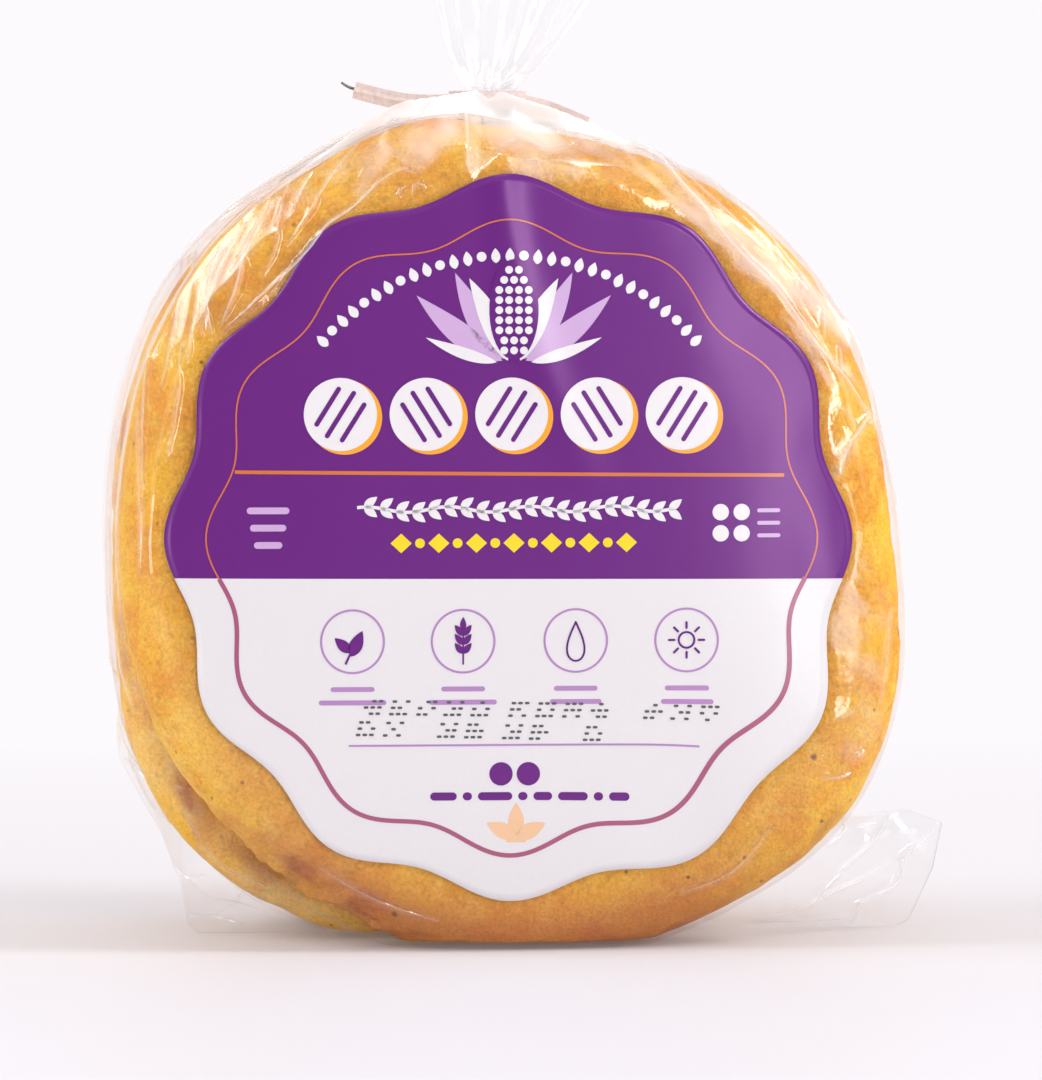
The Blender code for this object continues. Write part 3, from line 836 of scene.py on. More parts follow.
def make_film_sheet():
    """The grid of the film round the stack, its folds, and how hazy each point is, with a painted highlight on the
    upper left facets.
    """
    around = np.linspace(-math.pi, math.pi, FILM_AROUND, endpoint=False)
    around = around - TOP_DENSITY * np.sin(around)
    share, turn = np.meshgrid(FRONT_SHARE, around, indexing="ij")
    depth = np.repeat(FRONT_DEPTH[:, None], FILM_AROUND, axis=1)
    reach = np.repeat(FILM_REACH[:, None], FILM_AROUND, axis=1)
    degrees = np.degrees(turn)
    right = np.interp(depth, CAKE_PLANES, SAG_RIGHT)
    left = np.interp(depth, CAKE_PLANES, SAG_LEFT)
    stage_at = (depth - CAKE_PLANES[0]) / CAKE_THICKNESS
    on_rim = (share >= 0.9999) & (stage_at > 0) & (stage_at < CAKE_COUNT - 1)
    dip = np.where(on_rim, VALLEY_DEPTH * np.abs(np.sin(math.pi * stage_at)) ** 4, 0)
    plain = rim_radius(turn, right, left) * share
    clear_of_label = smooth_step(0.0004, -0.0016, inside_label(plain * np.sin(turn), CENTRE_HEIGHT + plain * np.cos(turn)))
    shoulder_share, depth = faceted(share, depth, degrees, np.where(depth < 0, clear_of_label, 1.0))
    puff = 0.0013 * bump(turn, math.radians(-66), math.radians(26)) * smooth_step(-0.021, -0.006, depth) * (share > 0.99)
    puff += 0.0006 * bump(turn, math.radians(75), math.radians(25)) * smooth_step(-0.019, -0.008, depth) * (share > 0.99)
    radius = rim_radius(turn, right, left) * shoulder_share - dip + puff
    points = np.stack([radius * np.sin(turn), depth, CENTRE_HEIGHT + radius * np.cos(turn)], -1)
    points[..., 2] = np.maximum(points[..., 2], FLOOR_GAP)
    normal = grid_normals(points)
    if normal[len(FRONT_SHARE) // 2, FILM_AROUND // 2, 2] < 0:
        normal = -normal

    folds = film_folds()
    height = soft_ridges(degrees, reach, folds)
    stretched = points * np.array([1.0, 1.0, 0.55])
    height += 0.00020 * layered(stretched, 0.011, 3, 101, 0.5, True)
    height += 0.00003 * layered(points, 0.0025, 2, 111)
    height += 0.00016 * bump(turn, math.radians(95), math.radians(28)) * layered(stretched, 0.005, 2, 113)
    under_label = smooth_step(-0.0012, 0.0006, inside_label(points[..., 0], points[..., 2])) * (points[..., 1] < FIRST_PLANE)
    height = height * (1 - under_label) - 0.00004 * under_label
    height = height * (1 - smooth_step(0.004, 0.0005, points[..., 2]))
    points = points + normal * height[..., None]

    x, y = points[..., 0] - 0.0003, points[..., 1]
    from_neck = np.hypot(x * np.where(x < 0, TENT_LEFT, TENT_RIGHT), y) / MM
    straight = np.hypot(x, y) / MM
    blend = smooth_step(3.0, 10.0, straight)
    from_neck = straight * (1 - blend) + from_neck * blend
    around_neck = np.arctan2(y, x)
    level = np.interp(from_neck, TENT_REACH, TENT_LEVEL) * MM
    level = level + 0.0010 * np.exp(-(straight - 4) / 8) * pleats(around_neck) * smooth_step(26, 15, straight)
    level = level + 0.0004 * pleats(around_neck + 0.2) * smooth_step(8, 14, straight) * smooth_step(24, 19, from_neck)
    above = (points[..., 2] > 0.087) & (y > -0.0215)
    fins = fin_level(points[..., 0], y) * above
    under_fins = np.maximum(points[..., 2], level)
    finned = smooth_step(-0.0012, 0.0006, fins - under_fins) * smooth_step(2.6, 5.0, straight)
    points[..., 2] = np.where(above & (from_neck < 30), under_fins, points[..., 2])
    points[..., 2] = np.where(above, np.maximum(points[..., 2], fins * (straight > 3.9)), points[..., 2])
    points[..., 2] = np.maximum(points[..., 2], FLOOR_GAP)

    haze_and_highlight = 0.004 + 0.18 * np.exp(-((straight / 13) ** 2)) * above + 0.34 * finned
    haze_and_highlight += 0.015 * smooth_step(0.2, 0.8, layered(stretched, 0.012, 3, 121))
    crown = bump(turn, 0.0, 0.42) * smooth_step(0.097, 0.101, points[..., 2])
    haze_and_highlight += 0.26 * crown * smooth_step(-0.3, 0.5, layered(stretched, 0.007, 2, 123))
    mist = smooth_step(0.1, 0.75, layered(points, 0.005, 3, 127))
    clinging = bump(turn, math.radians(103), math.radians(19)) * smooth_step(-0.029, -0.026, points[..., 1])
    facets = bump(turn, math.radians(-47), math.radians(16)) * smooth_step(-0.027, -0.025, points[..., 1])
    # painted highlight: a little whiteness on the upper left shoulder facets, where the left lamp's reflection falls
    haze_and_highlight += 0.05 * facets * smooth_step(-0.015, -0.019, points[..., 1])
    clinging = np.maximum(clinging, 0.7 * bump(turn, math.radians(-72), math.radians(30)) * smooth_step(-0.020, -0.012, points[..., 1]))
    haze_and_highlight += 0.12 * mist * clinging * (1 - under_label)
    haze_and_highlight += veil_haze(points[..., 0], points[..., 2]) * (points[..., 1] < -0.008) * (1 - under_label)
    neck_hole = (straight < 3.9) & above
    return Sheet(points, FILM_REACH, np.degrees(around)), folds, haze_and_highlight, neck_hole


def make_wrap(sheet, haze_and_highlight, neck_hole, material):
    rows = len(sheet.rows)
    faces = grid_faces(rows, FILM_AROUND, True)
    faces = faces[~neck_hole.ravel()[faces].any(axis=1)].tolist()
    for i in range(FILM_AROUND):
        j = (i + 1) % FILM_AROUND
        faces.append([j, i, rows * FILM_AROUND])
        faces.append([(rows - 1) * FILM_AROUND + i, (rows - 1) * FILM_AROUND + j, rows * FILM_AROUND + 1])
    flat = sheet.points.reshape(-1, 3)
    ends = [flat[:FILM_AROUND].mean(0), flat[-FILM_AROUND:].mean(0)]
    turn = np.radians(sheet.columns)[None, :]
    cling = np.minimum(1.15 * bump(turn, math.radians(-128), math.radians(36)), 1.0) * smooth_step(-11, -4, sheet.rows)[:, None]
    cling = cling * smooth_step(26, 16, sheet.rows)[:, None]
    under = 0.85 * bump(turn, math.pi, math.radians(52)) * smooth_step(3, -2, sheet.rows)[:, None]
    cling = np.maximum(cling, under)
    right = smooth_step(72, 86, sheet.columns) * smooth_step(119, 112, sheet.columns)
    cling = np.maximum(cling, 0.93 * right[None, :] * smooth_step(2, -2, sheet.rows)[:, None])
    looks = {"haze_and_highlight": np.append(haze_and_highlight.ravel(), [0.004, 0.004]), "fade": np.append(cling.ravel(), [0.0, 0.0])}
    obj = make_object("film_wrap", np.vstack([flat, ends]), faces, material, looks)
    drop_loose(obj)
    return obj


def drop_loose(obj):
    bm = bmesh.new()
    bm.from_mesh(obj.data)
    loose = [v for v in bm.verts if not v.link_faces]
    bmesh.ops.delete(bm, geom=loose, context="VERTS")
    bmesh.ops.recalc_face_normals(bm, faces=bm.faces)
    bm.to_mesh(obj.data)
    bm.free()
    obj.data.shade_smooth()


def make_tail(material):
    """The gathered neck and the flared tail above it: one tube of film, tightly pleated where the tie holds it."""
    around = 420
    low = 0.1060
    tie_low, tie_high = NECK_HEIGHT - 0.0011, NECK_HEIGHT + 0.0011
    levels = np.concatenate([np.linspace(low, tie_low, 7), np.linspace(tie_low, tie_high, 7)[1:], np.linspace(tie_high, TAIL_TOP - 0.0006, 74)[1:]])
    turn = np.linspace(0, math.tau, around, endpoint=False)
    z, angle = np.meshgrid(levels, turn, indexing="ij")
    rise = np.clip((z - tie_high) / (TAIL_TOP - tie_high), 0, 1)
    below = np.clip((tie_low - z) / (tie_low - low), 0, 1)
    half_x = NECK_RADIUS - 0.0005 + (TAIL_HALF_WIDTH - NECK_RADIUS) * rise**0.8 + 0.0010 * below**1.5
    half_y = 0.0011 + (NECK_RADIUS - 0.0016) * (1 - rise) ** 3 + 0.0010 * below**1.5
    across = np.cos(angle)
    gather = 0.20 * np.exp(-rise * 5) * pleats(angle)
    star = 1 - 0.42 * np.exp(-rise * 16) * (1 - below) * (1 + np.cos(13 * angle + 0.8 * np.sin(3 * angle)))
    x = half_x * across * (1 + gather) * star + TAIL_LEAN * rise
    side = np.where(np.sin(angle) >= 0, 1.0, -1.0)
    wave = 0.0021 * rise**0.7 * np.sin(5 * across * math.pi / 2 + 0.6 + 0.5 * side * rise)
    wave += 0.0009 * rise**0.6 * np.sin(11 * across + 2.0 * side + 3 * rise)
    crumple = 0.0007 * rise**0.5 * layered(np.stack([x, side * 0.03, z * 0.6], -1), 0.007, 3, 131, 0.55, True)
    y = half_y * np.sin(angle) * (1 + gather) * star + wave * (1 - 0.2 * np.abs(across))
    y += side * crumple * np.abs(np.sin(angle)) ** 0.3
    top = 0.0005 * rise * np.sin(3 * across + 1.0) * (rise > 0.9)
    points = np.stack([x, y, z + top], -1)
    haze_and_highlight = 0.005 + 0.38 * np.exp(-np.abs(z - NECK_HEIGHT) / 0.0025)
    fade = 0.66 * smooth_step(0.02, 0.2, rise)
    looks = {"haze_and_highlight": haze_and_highlight, "fade": fade}
    return make_object("film_tail", points, grid_faces(len(levels), around, True), material, looks)


# Outer edge of each folded bottom corner, from top to bottom: x, z in millimetres; then the
# angles between which its inner edge runs, and its folds as (height, width, lean, route),
# where a route's points are (share of the way along the outer edge, share of the way out)
CORNERS = {
    "left": {
        "edge": ((-49.2, 27.5), (-48.9, 23.6), (-46.2, 18.5), (-43.4, 13.6), (-41.0, 7.0), (-39.9, 1.6), (-38.6, 0.3), (-30.0, 0.25), (-22.0, 0.25)),
        "angles": (-110, -158),
        "folds": (
            (0.6, 0.35, 0.3, ((0.05, 0.55), (0.22, 0.50), (0.40, 0.42), (0.60, 0.30), (0.80, 0.20))),
            (0.5, 0.35, 0.0, ((0.10, 0.95), (0.22, 0.70), (0.30, 0.40), (0.36, 0.15))),
            (0.5, 0.35, 0.2, ((0.44, 0.98), (0.52, 0.78), (0.58, 0.50))),
            (0.5, 0.35, 0.2, ((0.58, 0.95), (0.66, 0.80), (0.76, 0.86))),
            (0.4, 0.35, -0.2, ((0.52, 0.78), (0.64, 0.62), (0.78, 0.60))),
            (0.4, 0.30, 0.0, ((0.66, 0.80), (0.70, 0.62), (0.70, 0.40))),
        ),
    },
    "right": {
        "edge": ((43.6, 14.6), (47.3, 13.4), (51.0, 14.9), (54.8, 15.8), (59.6, 14.0), (58.4, 8.0), (55.2, 1.2), (53.4, 0.3), (44.0, 0.25), (33.0, 0.25)),
        "angles": (131, 157),
        "folds": (
            (0.85, 0.45, 0.4, ((0.33, 0.97), (0.40, 0.78), (0.47, 0.80), (0.55, 0.66), (0.66, 0.80))),
            (0.5, 0.40, 0.2, ((0.06, 0.85), (0.14, 0.50), (0.24, 0.22))),
            (0.5, 0.35, 0.2, ((0.20, 0.90), (0.30, 0.62), (0.42, 0.45), (0.60, 0.42))),
            (0.45, 0.35, 0.0, ((0.40, 0.78), (0.46, 0.60), (0.56, 0.42), (0.74, 0.30))),
            (0.4, 0.35, 0.0, ((0.62, 0.72), (0.72, 0.60), (0.84, 0.50))),
        ),
    },
}


def make_corner_sheet(name):
    """A folded bottom corner: a front and a back layer of loose film that meet along its outer edge."""
    side = -1 if name == "left" else 1
    edge = np.array(CORNERS[name]["edge"]) * MM
    lengths = np.concatenate([[0], np.cumsum(np.linalg.norm(np.diff(edge, axis=0), axis=1))])
    along = np.linspace(0, 1, 150)
    outer = np.stack([np.interp(along * lengths[-1], lengths, edge[:, k]) for k in (0, 1)], -1)
    outer = np.stack([outer[:, 0], np.full(len(along), -0.004), outer[:, 1]], -1)
    start, stop = CORNERS[name]["angles"]
    angle = np.radians(start + (stop - start) * along)
    across = np.linspace(0, 1, 56)
    rows, measures = [], []
    for face, plane in ((-1, 0), (1, CAKE_COUNT - 1)):
        reach = rim_radius(angle, SAG_RIGHT[plane], SAG_LEFT[plane]) - 0.0006
        inner = np.stack([reach * np.sin(angle), np.full(len(along), face * 0.0185), CENTRE_HEIGHT + reach * np.cos(angle)], -1)
        for t in across if face < 0 else across[::-1][1:]:
            row = inner * (1 - t) + outer * t
            row[:, 1] -= face * 0.0030 * math.sin(math.pi * t)
            rows.append(row)
            measures.append(t if face < 0 else 2 - t)
    points = np.array(rows)
    t = np.array([min(m, 2 - m) for m in measures])[:, None]
    face = np.where(np.array(measures) <= 1, -1.0, 1.0)[:, None]
    fold = layered(points * np.array([1, 0.5, 0.8]), 0.012, 3, 141 if side < 0 else 151, 0.5, True)
    loose = np.sin(math.pi * np.clip(t, 0, 1)) ** 0.7
    points[..., 1] += face * 0.0013 * fold * loose
    points[..., 0] += side * 0.0006 * loose * noise(points + 0.4, 0.006, 7)
    points[..., 2] = np.maximum(points[..., 2], FLOOR_GAP + 0.0001)
    haze_and_highlight = 0.010 + 0.06 * smooth_step(0.1, 0.8, fold)
    fade = np.broadcast_to(0.35 + 0.6 * smooth_step(0.55, 0.2, t), haze_and_highlight.shape)
    return Sheet(points, measures, along), {"haze_and_highlight": haze_and_highlight, "fade": fade}


# ---------------------------------------------------------------- label


def label_surface(x, z, lift=0.0):
    """Points on the label's front, which follows the film, with a low ridge, a bent right edge and small dents."""
    x = np.asarray(x, float)
    z = np.asarray(z, float)
    y = front_depth(x, z) - LABEL_LIFT - lift
    down = np.clip((LABEL_Z + 0.0455 - z) / 0.040, 0, 1)
    ridge_x = LABEL_X - 0.0010 + 0.0120 * down**1.6
    wide = 0.0022 + 0.0008 * down
    y = y - 0.00038 * (1 - down) ** 0.6 * np.exp(-(((x - ridge_x) / wide) ** 2))
    right = np.clip((x - LABEL_X - 0.0275) / 0.0160, 0, 1)
    level = bump((z - LABEL_Z) / 0.030, 0.1, 1.0)
    y = y + 0.00022 * right**2 * level
    wave_at = np.stack([x, np.zeros_like(x), z * 0.7], -1)
    outer = smooth_step(0.026, 0.043, np.hypot(x - LABEL_X, z - LABEL_Z))
    y = y - outer * 0.00016 * noise(wave_at, 0.011, 161) - 0.00005 * noise(wave_at, 0.02, 171)
    y = y + 0.00008 * right * noise(wave_at, 0.005, 181)
    return np.stack([x, y, z], -1)


def label_polar(radius, angle, lift=0.0):
    reach = stretched_radius(radius, angle)
    return label_surface(LABEL_X + reach * np.sin(angle), LABEL_Z + reach * np.cos(angle), lift)


FIELD_SPLIT = -0.0052  # the purple field's lower edge, from the label's centre


def make_label(purple, white):
    """The label: an even sheet with a wavy outline, cut exactly where purple meets white."""
    around, rings = 480, 46
    angle = np.linspace(0, math.tau, around, endpoint=False)
    share = np.linspace(0, 1, rings + 1)[1:]
    s, a = np.meshgrid(share, angle, indexing="ij")
    points = label_polar(s * label_edge(a), a)
    skirt = points[-1:] + np.array([0, LABEL_LIFT - 0.00006, 0])
    points = np.concatenate([points, skirt])
    faces = grid_faces(rings + 1, around, True).tolist()
    centre = (rings + 1) * around
    faces += [[(i + 1) % around, i, centre] for i in range(around)]
    flat = np.vstack([points.reshape(-1, 3), label_polar(np.zeros(1), np.zeros(1))])
    obj = make_object("label", flat, faces, white)
    obj.data.materials.append(purple)
    bm = bmesh.new()
    bm.from_mesh(obj.data)
    split = (LABEL_X, 0.0, LABEL_Z + FIELD_SPLIT)
    everything = bm.verts[:] + bm.edges[:] + bm.faces[:]
    bmesh.ops.bisect_plane(bm, geom=everything, plane_co=split, plane_no=(0.005, 0.0, 1.0), dist=1e-7)
    bmesh.ops.recalc_face_normals(bm, faces=bm.faces)
    for face in bm.faces:
        middle = face.calc_center_median()
        above = (middle.x - split[0]) * 0.005 + middle.z - split[2] > 0
        face.material_index = 1 if above else 0
        face.smooth = True
    bm.to_mesh(obj.data)
    bm.free()
    return obj


class Print:
    """Flat shapes in millimetres from the label's centre, laid on its surface in order."""

    def __init__(self, name):
        self.name = name
        self.materials = []
        self.points = []
        self.faces = []
        self.slots = []
        self.layer = 0

    def use(self, material, layer):
        if material not in self.materials:
            self.materials.append(material)
        self.slot = self.materials.index(material)
        self.layer = layer

    def lay(self, flat, faces):
        first = len(self.points)
        flat = np.asarray(flat, float) * MM
        angle = np.arctan2(flat[:, 0], flat[:, 1])
        placed = label_polar(np.hypot(flat[:, 0], flat[:, 1]), angle, self.layer * PRINT_LIFT)
        self.points.extend(placed.tolist())
        self.faces.extend([[first + i for i in face] for face in faces])
        self.slots.extend([self.slot] * len(faces))

    def blade(self, x, z, degrees, along, half, curve=0.0):
        """A filled shape that grows from x, z at an angle from straight up: half-widths and curve along its length."""
        turn = math.radians(degrees)
        along, half = np.asarray(along, float), np.asarray(half, float)
        columns = max(3, 1 + 2 * math.ceil(half.max() / 1.2))
        u = half[:, None] * np.linspace(-1, 1, columns) + np.reshape(curve, (-1, 1))
        v = np.repeat(along[:, None], columns, axis=1)
        flat = np.stack([x + u * math.cos(turn) + v * math.sin(turn), z - u * math.sin(turn) + v * math.cos(turn)], -1)
        self.lay(flat.reshape(-1, 2), grid_faces(len(along), columns, False).tolist())

    def band(self, middle, width, closed=False):
        """A line of even width along points."""
        middle = np.asarray(middle, float)
        if closed:
            before, after = np.roll(middle, 1, 0), np.roll(middle, -1, 0)
        else:
            before, after = np.vstack([middle[:1], middle[:-1]]), np.vstack([middle[1:], middle[-1:]])
        run = after - before
        run /= np.maximum(np.linalg.norm(run, axis=1, keepdims=True), 1e-9)
        out = np.stack([-run[:, 1], run[:, 0]], -1) * np.reshape(width, (-1, 1)) / 2
        both = np.concatenate([middle + out, middle - out])
        count = len(middle)
        spans = range(count if closed else count - 1)
        self.lay(both, [[i, (i + 1) % count, count + (i + 1) % count, count + i] for i in spans])

    def disc(self, x, z, half_width, half_height=None, rows=20):
        turn = np.linspace(0, math.pi, rows)
        self.blade(x, z, 0, -(half_height or half_width) * np.cos(turn), half_width * np.sin(turn))

    def ring(self, x, z, radius, width, count=72):
        turn = np.arange(count) * math.tau / count
        self.band(np.stack([x + radius * np.sin(turn), z + radius * np.cos(turn)], -1), width, True)

    def leaf(self, x, z, length, width, degrees, bend=0.0):
        """A pointed leaf that starts at x, z and grows at an angle from straight up."""
        t = np.linspace(0, 1, 16)
        self.blade(x, z, degrees, length * t, width / 2 * np.sin(math.pi * t**0.8).clip(0) ** 0.9, bend * t * t)

    def bar(self, x, z, length, thickness, degrees=90.0):
        """A bar with round ends, centred on x, z, at an angle from straight up."""
        turn = np.linspace(0, math.pi / 2, 6)
        straight = max(0.0, (length - thickness) / 2)
        along = straight + thickness / 2 * np.sin(turn)
        half = thickness / 2 * np.cos(turn)
        inner = np.linspace(-straight, straight, 2 + int(straight))[1:-1]
        whole = np.concatenate([-along[::-1], inner, along])
        self.blade(x, z, degrees, whole, np.concatenate([half[::-1], np.full(len(inner), thickness / 2), half]))

    def build(self):
        obj = make_object(self.name, self.points, self.faces, self.materials[0])
        for material in self.materials[1:]:
            obj.data.materials.append(material)
        obj.data.polygons.foreach_set("material_index", self.slots)
        bm = bmesh.new()
        bm.from_mesh(obj.data)
        for face in bm.faces:
            face.normal_update()
            if face.normal.y > 0:
                face.normal_flip()
            face.smooth = True
        bm.to_mesh(obj.data)
        bm.free()
        return obj


def inner_outline(inset, low, high, count):
    """Points of a wavy line inside the label's edge, between two angles in degrees."""
    turn = np.radians(np.linspace(low, high, count))
    nearer = 0.0013 * np.maximum(0, np.sin(turn)) ** 2 + 0.0005 * np.maximum(0, -np.sin(turn)) ** 2
    reach = (label_edge(turn) - inset + nearer) / MM
    return np.stack([reach * np.sin(turn), reach * np.cos(turn)], -1)


def print_frame(art, orange, plum):
    """The wavy inner line, thin and orange on purple and thicker and plum on white."""
    inset = 0.0058
    cross = 97.8
    art.use(orange, 1)
    art.band(inner_outline(inset, -cross, cross, 260), 0.19)
    art.use(plum, 1)
    art.band(inner_outline(inset, cross, 360 - cross, 260), 0.58)
    art.use(orange, 1)
    art.band([(x, 8.2 - 0.009 * x) for x in np.linspace(-35.0, 35.2, 60)], 0.46)


def print_arch(art, white):
    """An arch of small kernels over the middle."""
    art.use(white, 1)
    count = 31
    for i in range(count):
        t = i / (count - 1) * 2 - 1
        turn = t * 49
        x = 31.6 * math.sin(math.radians(turn))
        z = 4.4 + 31.6 * math.cos(math.radians(turn))
        if i % 3 == 1:
            art.disc(x, z, 0.62)
        else:
            art.leaf(x - 0.95 * math.sin(math.radians(turn)), z - 0.95 * math.cos(math.radians(turn)), 1.9, 1.15, turn)


def print_cob(art, white, lilac, purple):
    """An ear of corn between its husk leaves."""
    art.use(lilac, 1)
    for side in (-1, 1):
        art.leaf(0.5 + side * 1.5, 22.6, 13.5, 3.0, side * 62, -side * 2.2)
        art.leaf(0.5 + side * 1.2, 22.8, 12.5, 3.0, side * 38, -side * 1.8)
    art.use(white, 2)
    for side in (-1, 1):
        art.leaf(0.5 + side * 0.8, 22.6, 11.5, 2.8, side * 20, side * 1.0)
        art.leaf(0.5 + side * 2.2, 22.4, 9.5, 1.5, side * 78, -side * 1.2)
    art.use(purple, 3)
    art.disc(0.5, 29.1, 3.15, 6.4)
    art.use(white, 4)
    for row in range(9):
        z = 23.9 + row * 1.28
        half = 2.75 * math.sqrt(max(0.0, 1 - ((z - 29.0) / 6.2) ** 2))
        seats = max(1, round(half * 2 / 1.25))
        for seat in range(seats):
            x = 0.5 + (seat - (seats - 1) / 2) * 1.25
            art.disc(x, z, 0.5, rows=8)


def print_cakes(art, white, orange, purple):
    """A row of five scored round cakes, with an orange edge at the lower right."""
    for i in range(5):
        x = -21.6 + i * 10.9
        z = 15.8
        art.use(orange, 1)
        art.disc(x + 0.55, z - 0.35, 4.75, rows=30)
        art.use(white, 2)
        art.disc(x, z, 4.65, rows=30)
        art.use(purple, 3)
        for k in (-1, 0, 1):
            reach = math.sqrt(3.5**2 - (k * 1.9) ** 2)
            lean = 32 if i % 2 else -32
            turn = math.radians(lean)
            art.bar(x + k * 1.9 * math.cos(turn), z + k * 1.9 * math.sin(turn), reach * 2, 0.62, -lean)


def print_garlands(art, white, yellow, lilac):
    """A white leafy twig, a yellow row of lozenges and small marks at both sides, under the orange line."""
    art.use(white, 1)
    art.band([(x, 3.7 + 0.35 * math.sin(x * 0.6)) for x in np.linspace(-19.5, 20.5, 90)], 0.42)
    for i in range(20):
        x = -18.6 + i * 2.05
        z = 3.7 + 0.35 * math.sin(x * 0.6)
        art.leaf(x, z, 2.1, 1.05, 52)
        art.leaf(x, z, 2.1, 1.05, 128)
    art.use(yellow, 1)
    for i in range(13):
        x = -13.9 + i * 2.4
        if i % 2:
            art.disc(x, -0.6, 0.62)
        else:
            art.blade(x, -0.6, 0, (-1.25, 0.0, 1.25), (0.0, 1.35, 0.0))
    art.use(lilac, 1)
    for k, length in enumerate((5.4, 4.6, 3.6)):
        art.bar(-30.8, 3.6 - k * 2.2, length, 0.85)
    art.use(white, 1)
    for k in range(4):
        art.disc(27.0 + 2.7 * (k % 2), 3.2 - 2.7 * (k // 2), 1.05)
    art.use(lilac, 1)
    for k in range(3):
        art.bar(33.2, 3.4 - k * 1.6, 3.0, 0.5)


def print_badges(art, ink, soft_ink):
    """Four thin round badges, each with a plain food sign and two short bars under it."""
    z = -13.1
    places = (-20.1, -6.0, 8.4, 22.6)
    for x in places:
        art.use(soft_ink, 1)
        art.ring(x, z, 4.0, 0.28)
        art.bar(x, z - 6.1, 5.6, 0.62)
        art.bar(x, z - 7.8, 8.6 if x < 0 else 6.6, 0.62)
    art.use(ink, 2)
    x = places[0]
    art.leaf(x - 0.2, z - 1.9, 3.6, 1.7, 24)
    art.leaf(x - 0.2, z - 1.4, 2.8, 1.4, -48)
    art.band([(x - 0.9, z - 2.9), (x - 0.4, z - 1.8), (x + 0.5, z + 0.2)], 0.28)
    x = places[1]
    for k in range(3):
        for side in (-1, 1):
            art.leaf(x, z - 1.6 + k * 1.15, 1.75, 0.85, side * 38)
    art.leaf(x, z + 1.3, 1.8, 0.8, 0)
    art.band([(x, z - 3.0), (x, z + 1.6)], 0.22)
    x = places[2]
    drop = []
    for i in range(32):
        t = i / 32 * math.tau
        drop.append((x + 1.55 * math.sin(t) * math.sin(t / 2) ** 1.3, z - 0.1 + 2.5 * math.cos(t)))
    art.band(drop, 0.26, True)
    x = places[3]
    for k in range(8):
        turn = math.radians(k * 45)
        art.bar(x + 1.9 * math.sin(turn), z + 1.9 * math.cos(turn), 1.0, 0.3, k * 45)
    art.ring(x, z, 1.0, 0.28, 40)


def print_stamp(art, grey):
    """Two slanting rows of printed dots where a date would go, in plain blocks that spell nothing."""
    art.use(grey, 2)
    picker = np.random.default_rng(5)
    for row, (start, z, blocks) in enumerate(((-18.6, -22.3, 13), (-19.4, -25.0, 9))):
        for block in range(blocks):
            x = start + block * 3.45 + (1.4 if block > 4 else 0)
            drop = -0.055 * (x - start) * (0.5 if row else 0.35)
            if picker.random() < 0.18:
                continue
            for i in range(3):
                for j in range(3):
                    if (i + j + block) % 2 or picker.random() < 0.5:
                        art.bar(x + i * 0.85 + j * 0.22, z + drop + j * 0.8, 0.62, 0.34)


def print_foot(art, ink, soft_ink, peach):
    """The ruled line, two dots, a dashed line and a small three-leaf sprig."""
    art.use(soft_ink, 1)
    art.band([(x, -26.4) for x in np.linspace(-20.6, 24.0, 24)], 0.26)
    art.use(ink, 1)
    art.disc(-1.15, -30.1, 1.5)
    art.disc(2.35, -30.1, 1.5)
    x = -10.2
    for k, length in enumerate((3.4, 1.2, 4.4, 1.2, 2.4, 3.8, 1.2, 2.6)):
        art.bar(x + length / 2, -32.95, length, 1.05)
        x += length + 0.75
    art.use(peach, 1)
    for degrees in (-64, 0, 64):
        art.leaf(0.8, -38.2 if degrees else -38.0, 4.2, 2.0, degrees, 0.0)
    art.bar(0.8, -38.6, 2.6, 0.5)


def make_print(inks):
    art = Print("label_print")
    print_frame(art, inks["orange"], inks["plum"])
    print_arch(art, inks["white"])
    print_cob(art, inks["white"], inks["lilac"], inks["purple"])
    print_cakes(art, inks["white"], inks["amber"], inks["purple"])
    print_garlands(art, inks["white"], inks["yellow"], inks["lilac"])
    print_badges(art, inks["purple"], inks["soft_purple"])
    print_stamp(art, inks["grey"])
    print_foot(art, inks["purple"], inks["soft_purple"], inks["peach"])
    return art.build()


# ---------------------------------------------------------------- tie


def make_wire_tip(material):
    """The bare end of the tie's wire, bent a little up where it was cut."""
    start = Vector((TIE_LOW[0] + 0.0006, -0.0016, NECK_HEIGHT + 0.0015))
    curve = bpy.data.curves.new("tie_wire", "CURVE")
    curve.dimensions = "3D"
    curve.bevel_depth = 0.00022
    curve.bevel_resolution = 3
    curve.use_fill_caps = True
    spline = curve.splines.new("POLY")
    spline.points.add(5)
    for i, point in enumerate(spline.points):
        t = i / 5
        point.co = (start.x - 0.0020 * t, start.y, start.z + 0.0007 * t * t + 0.0002 * t, 1.0)
        point.radius = 1.0 - 0.25 * t
    curve.materials.append(material)
    obj = bpy.data.objects.new("tie_wire", curve)
    bpy.context.scene.collection.objects.link(obj)
    return obj


# ---------------------------------------------------------------- stage, light and camera


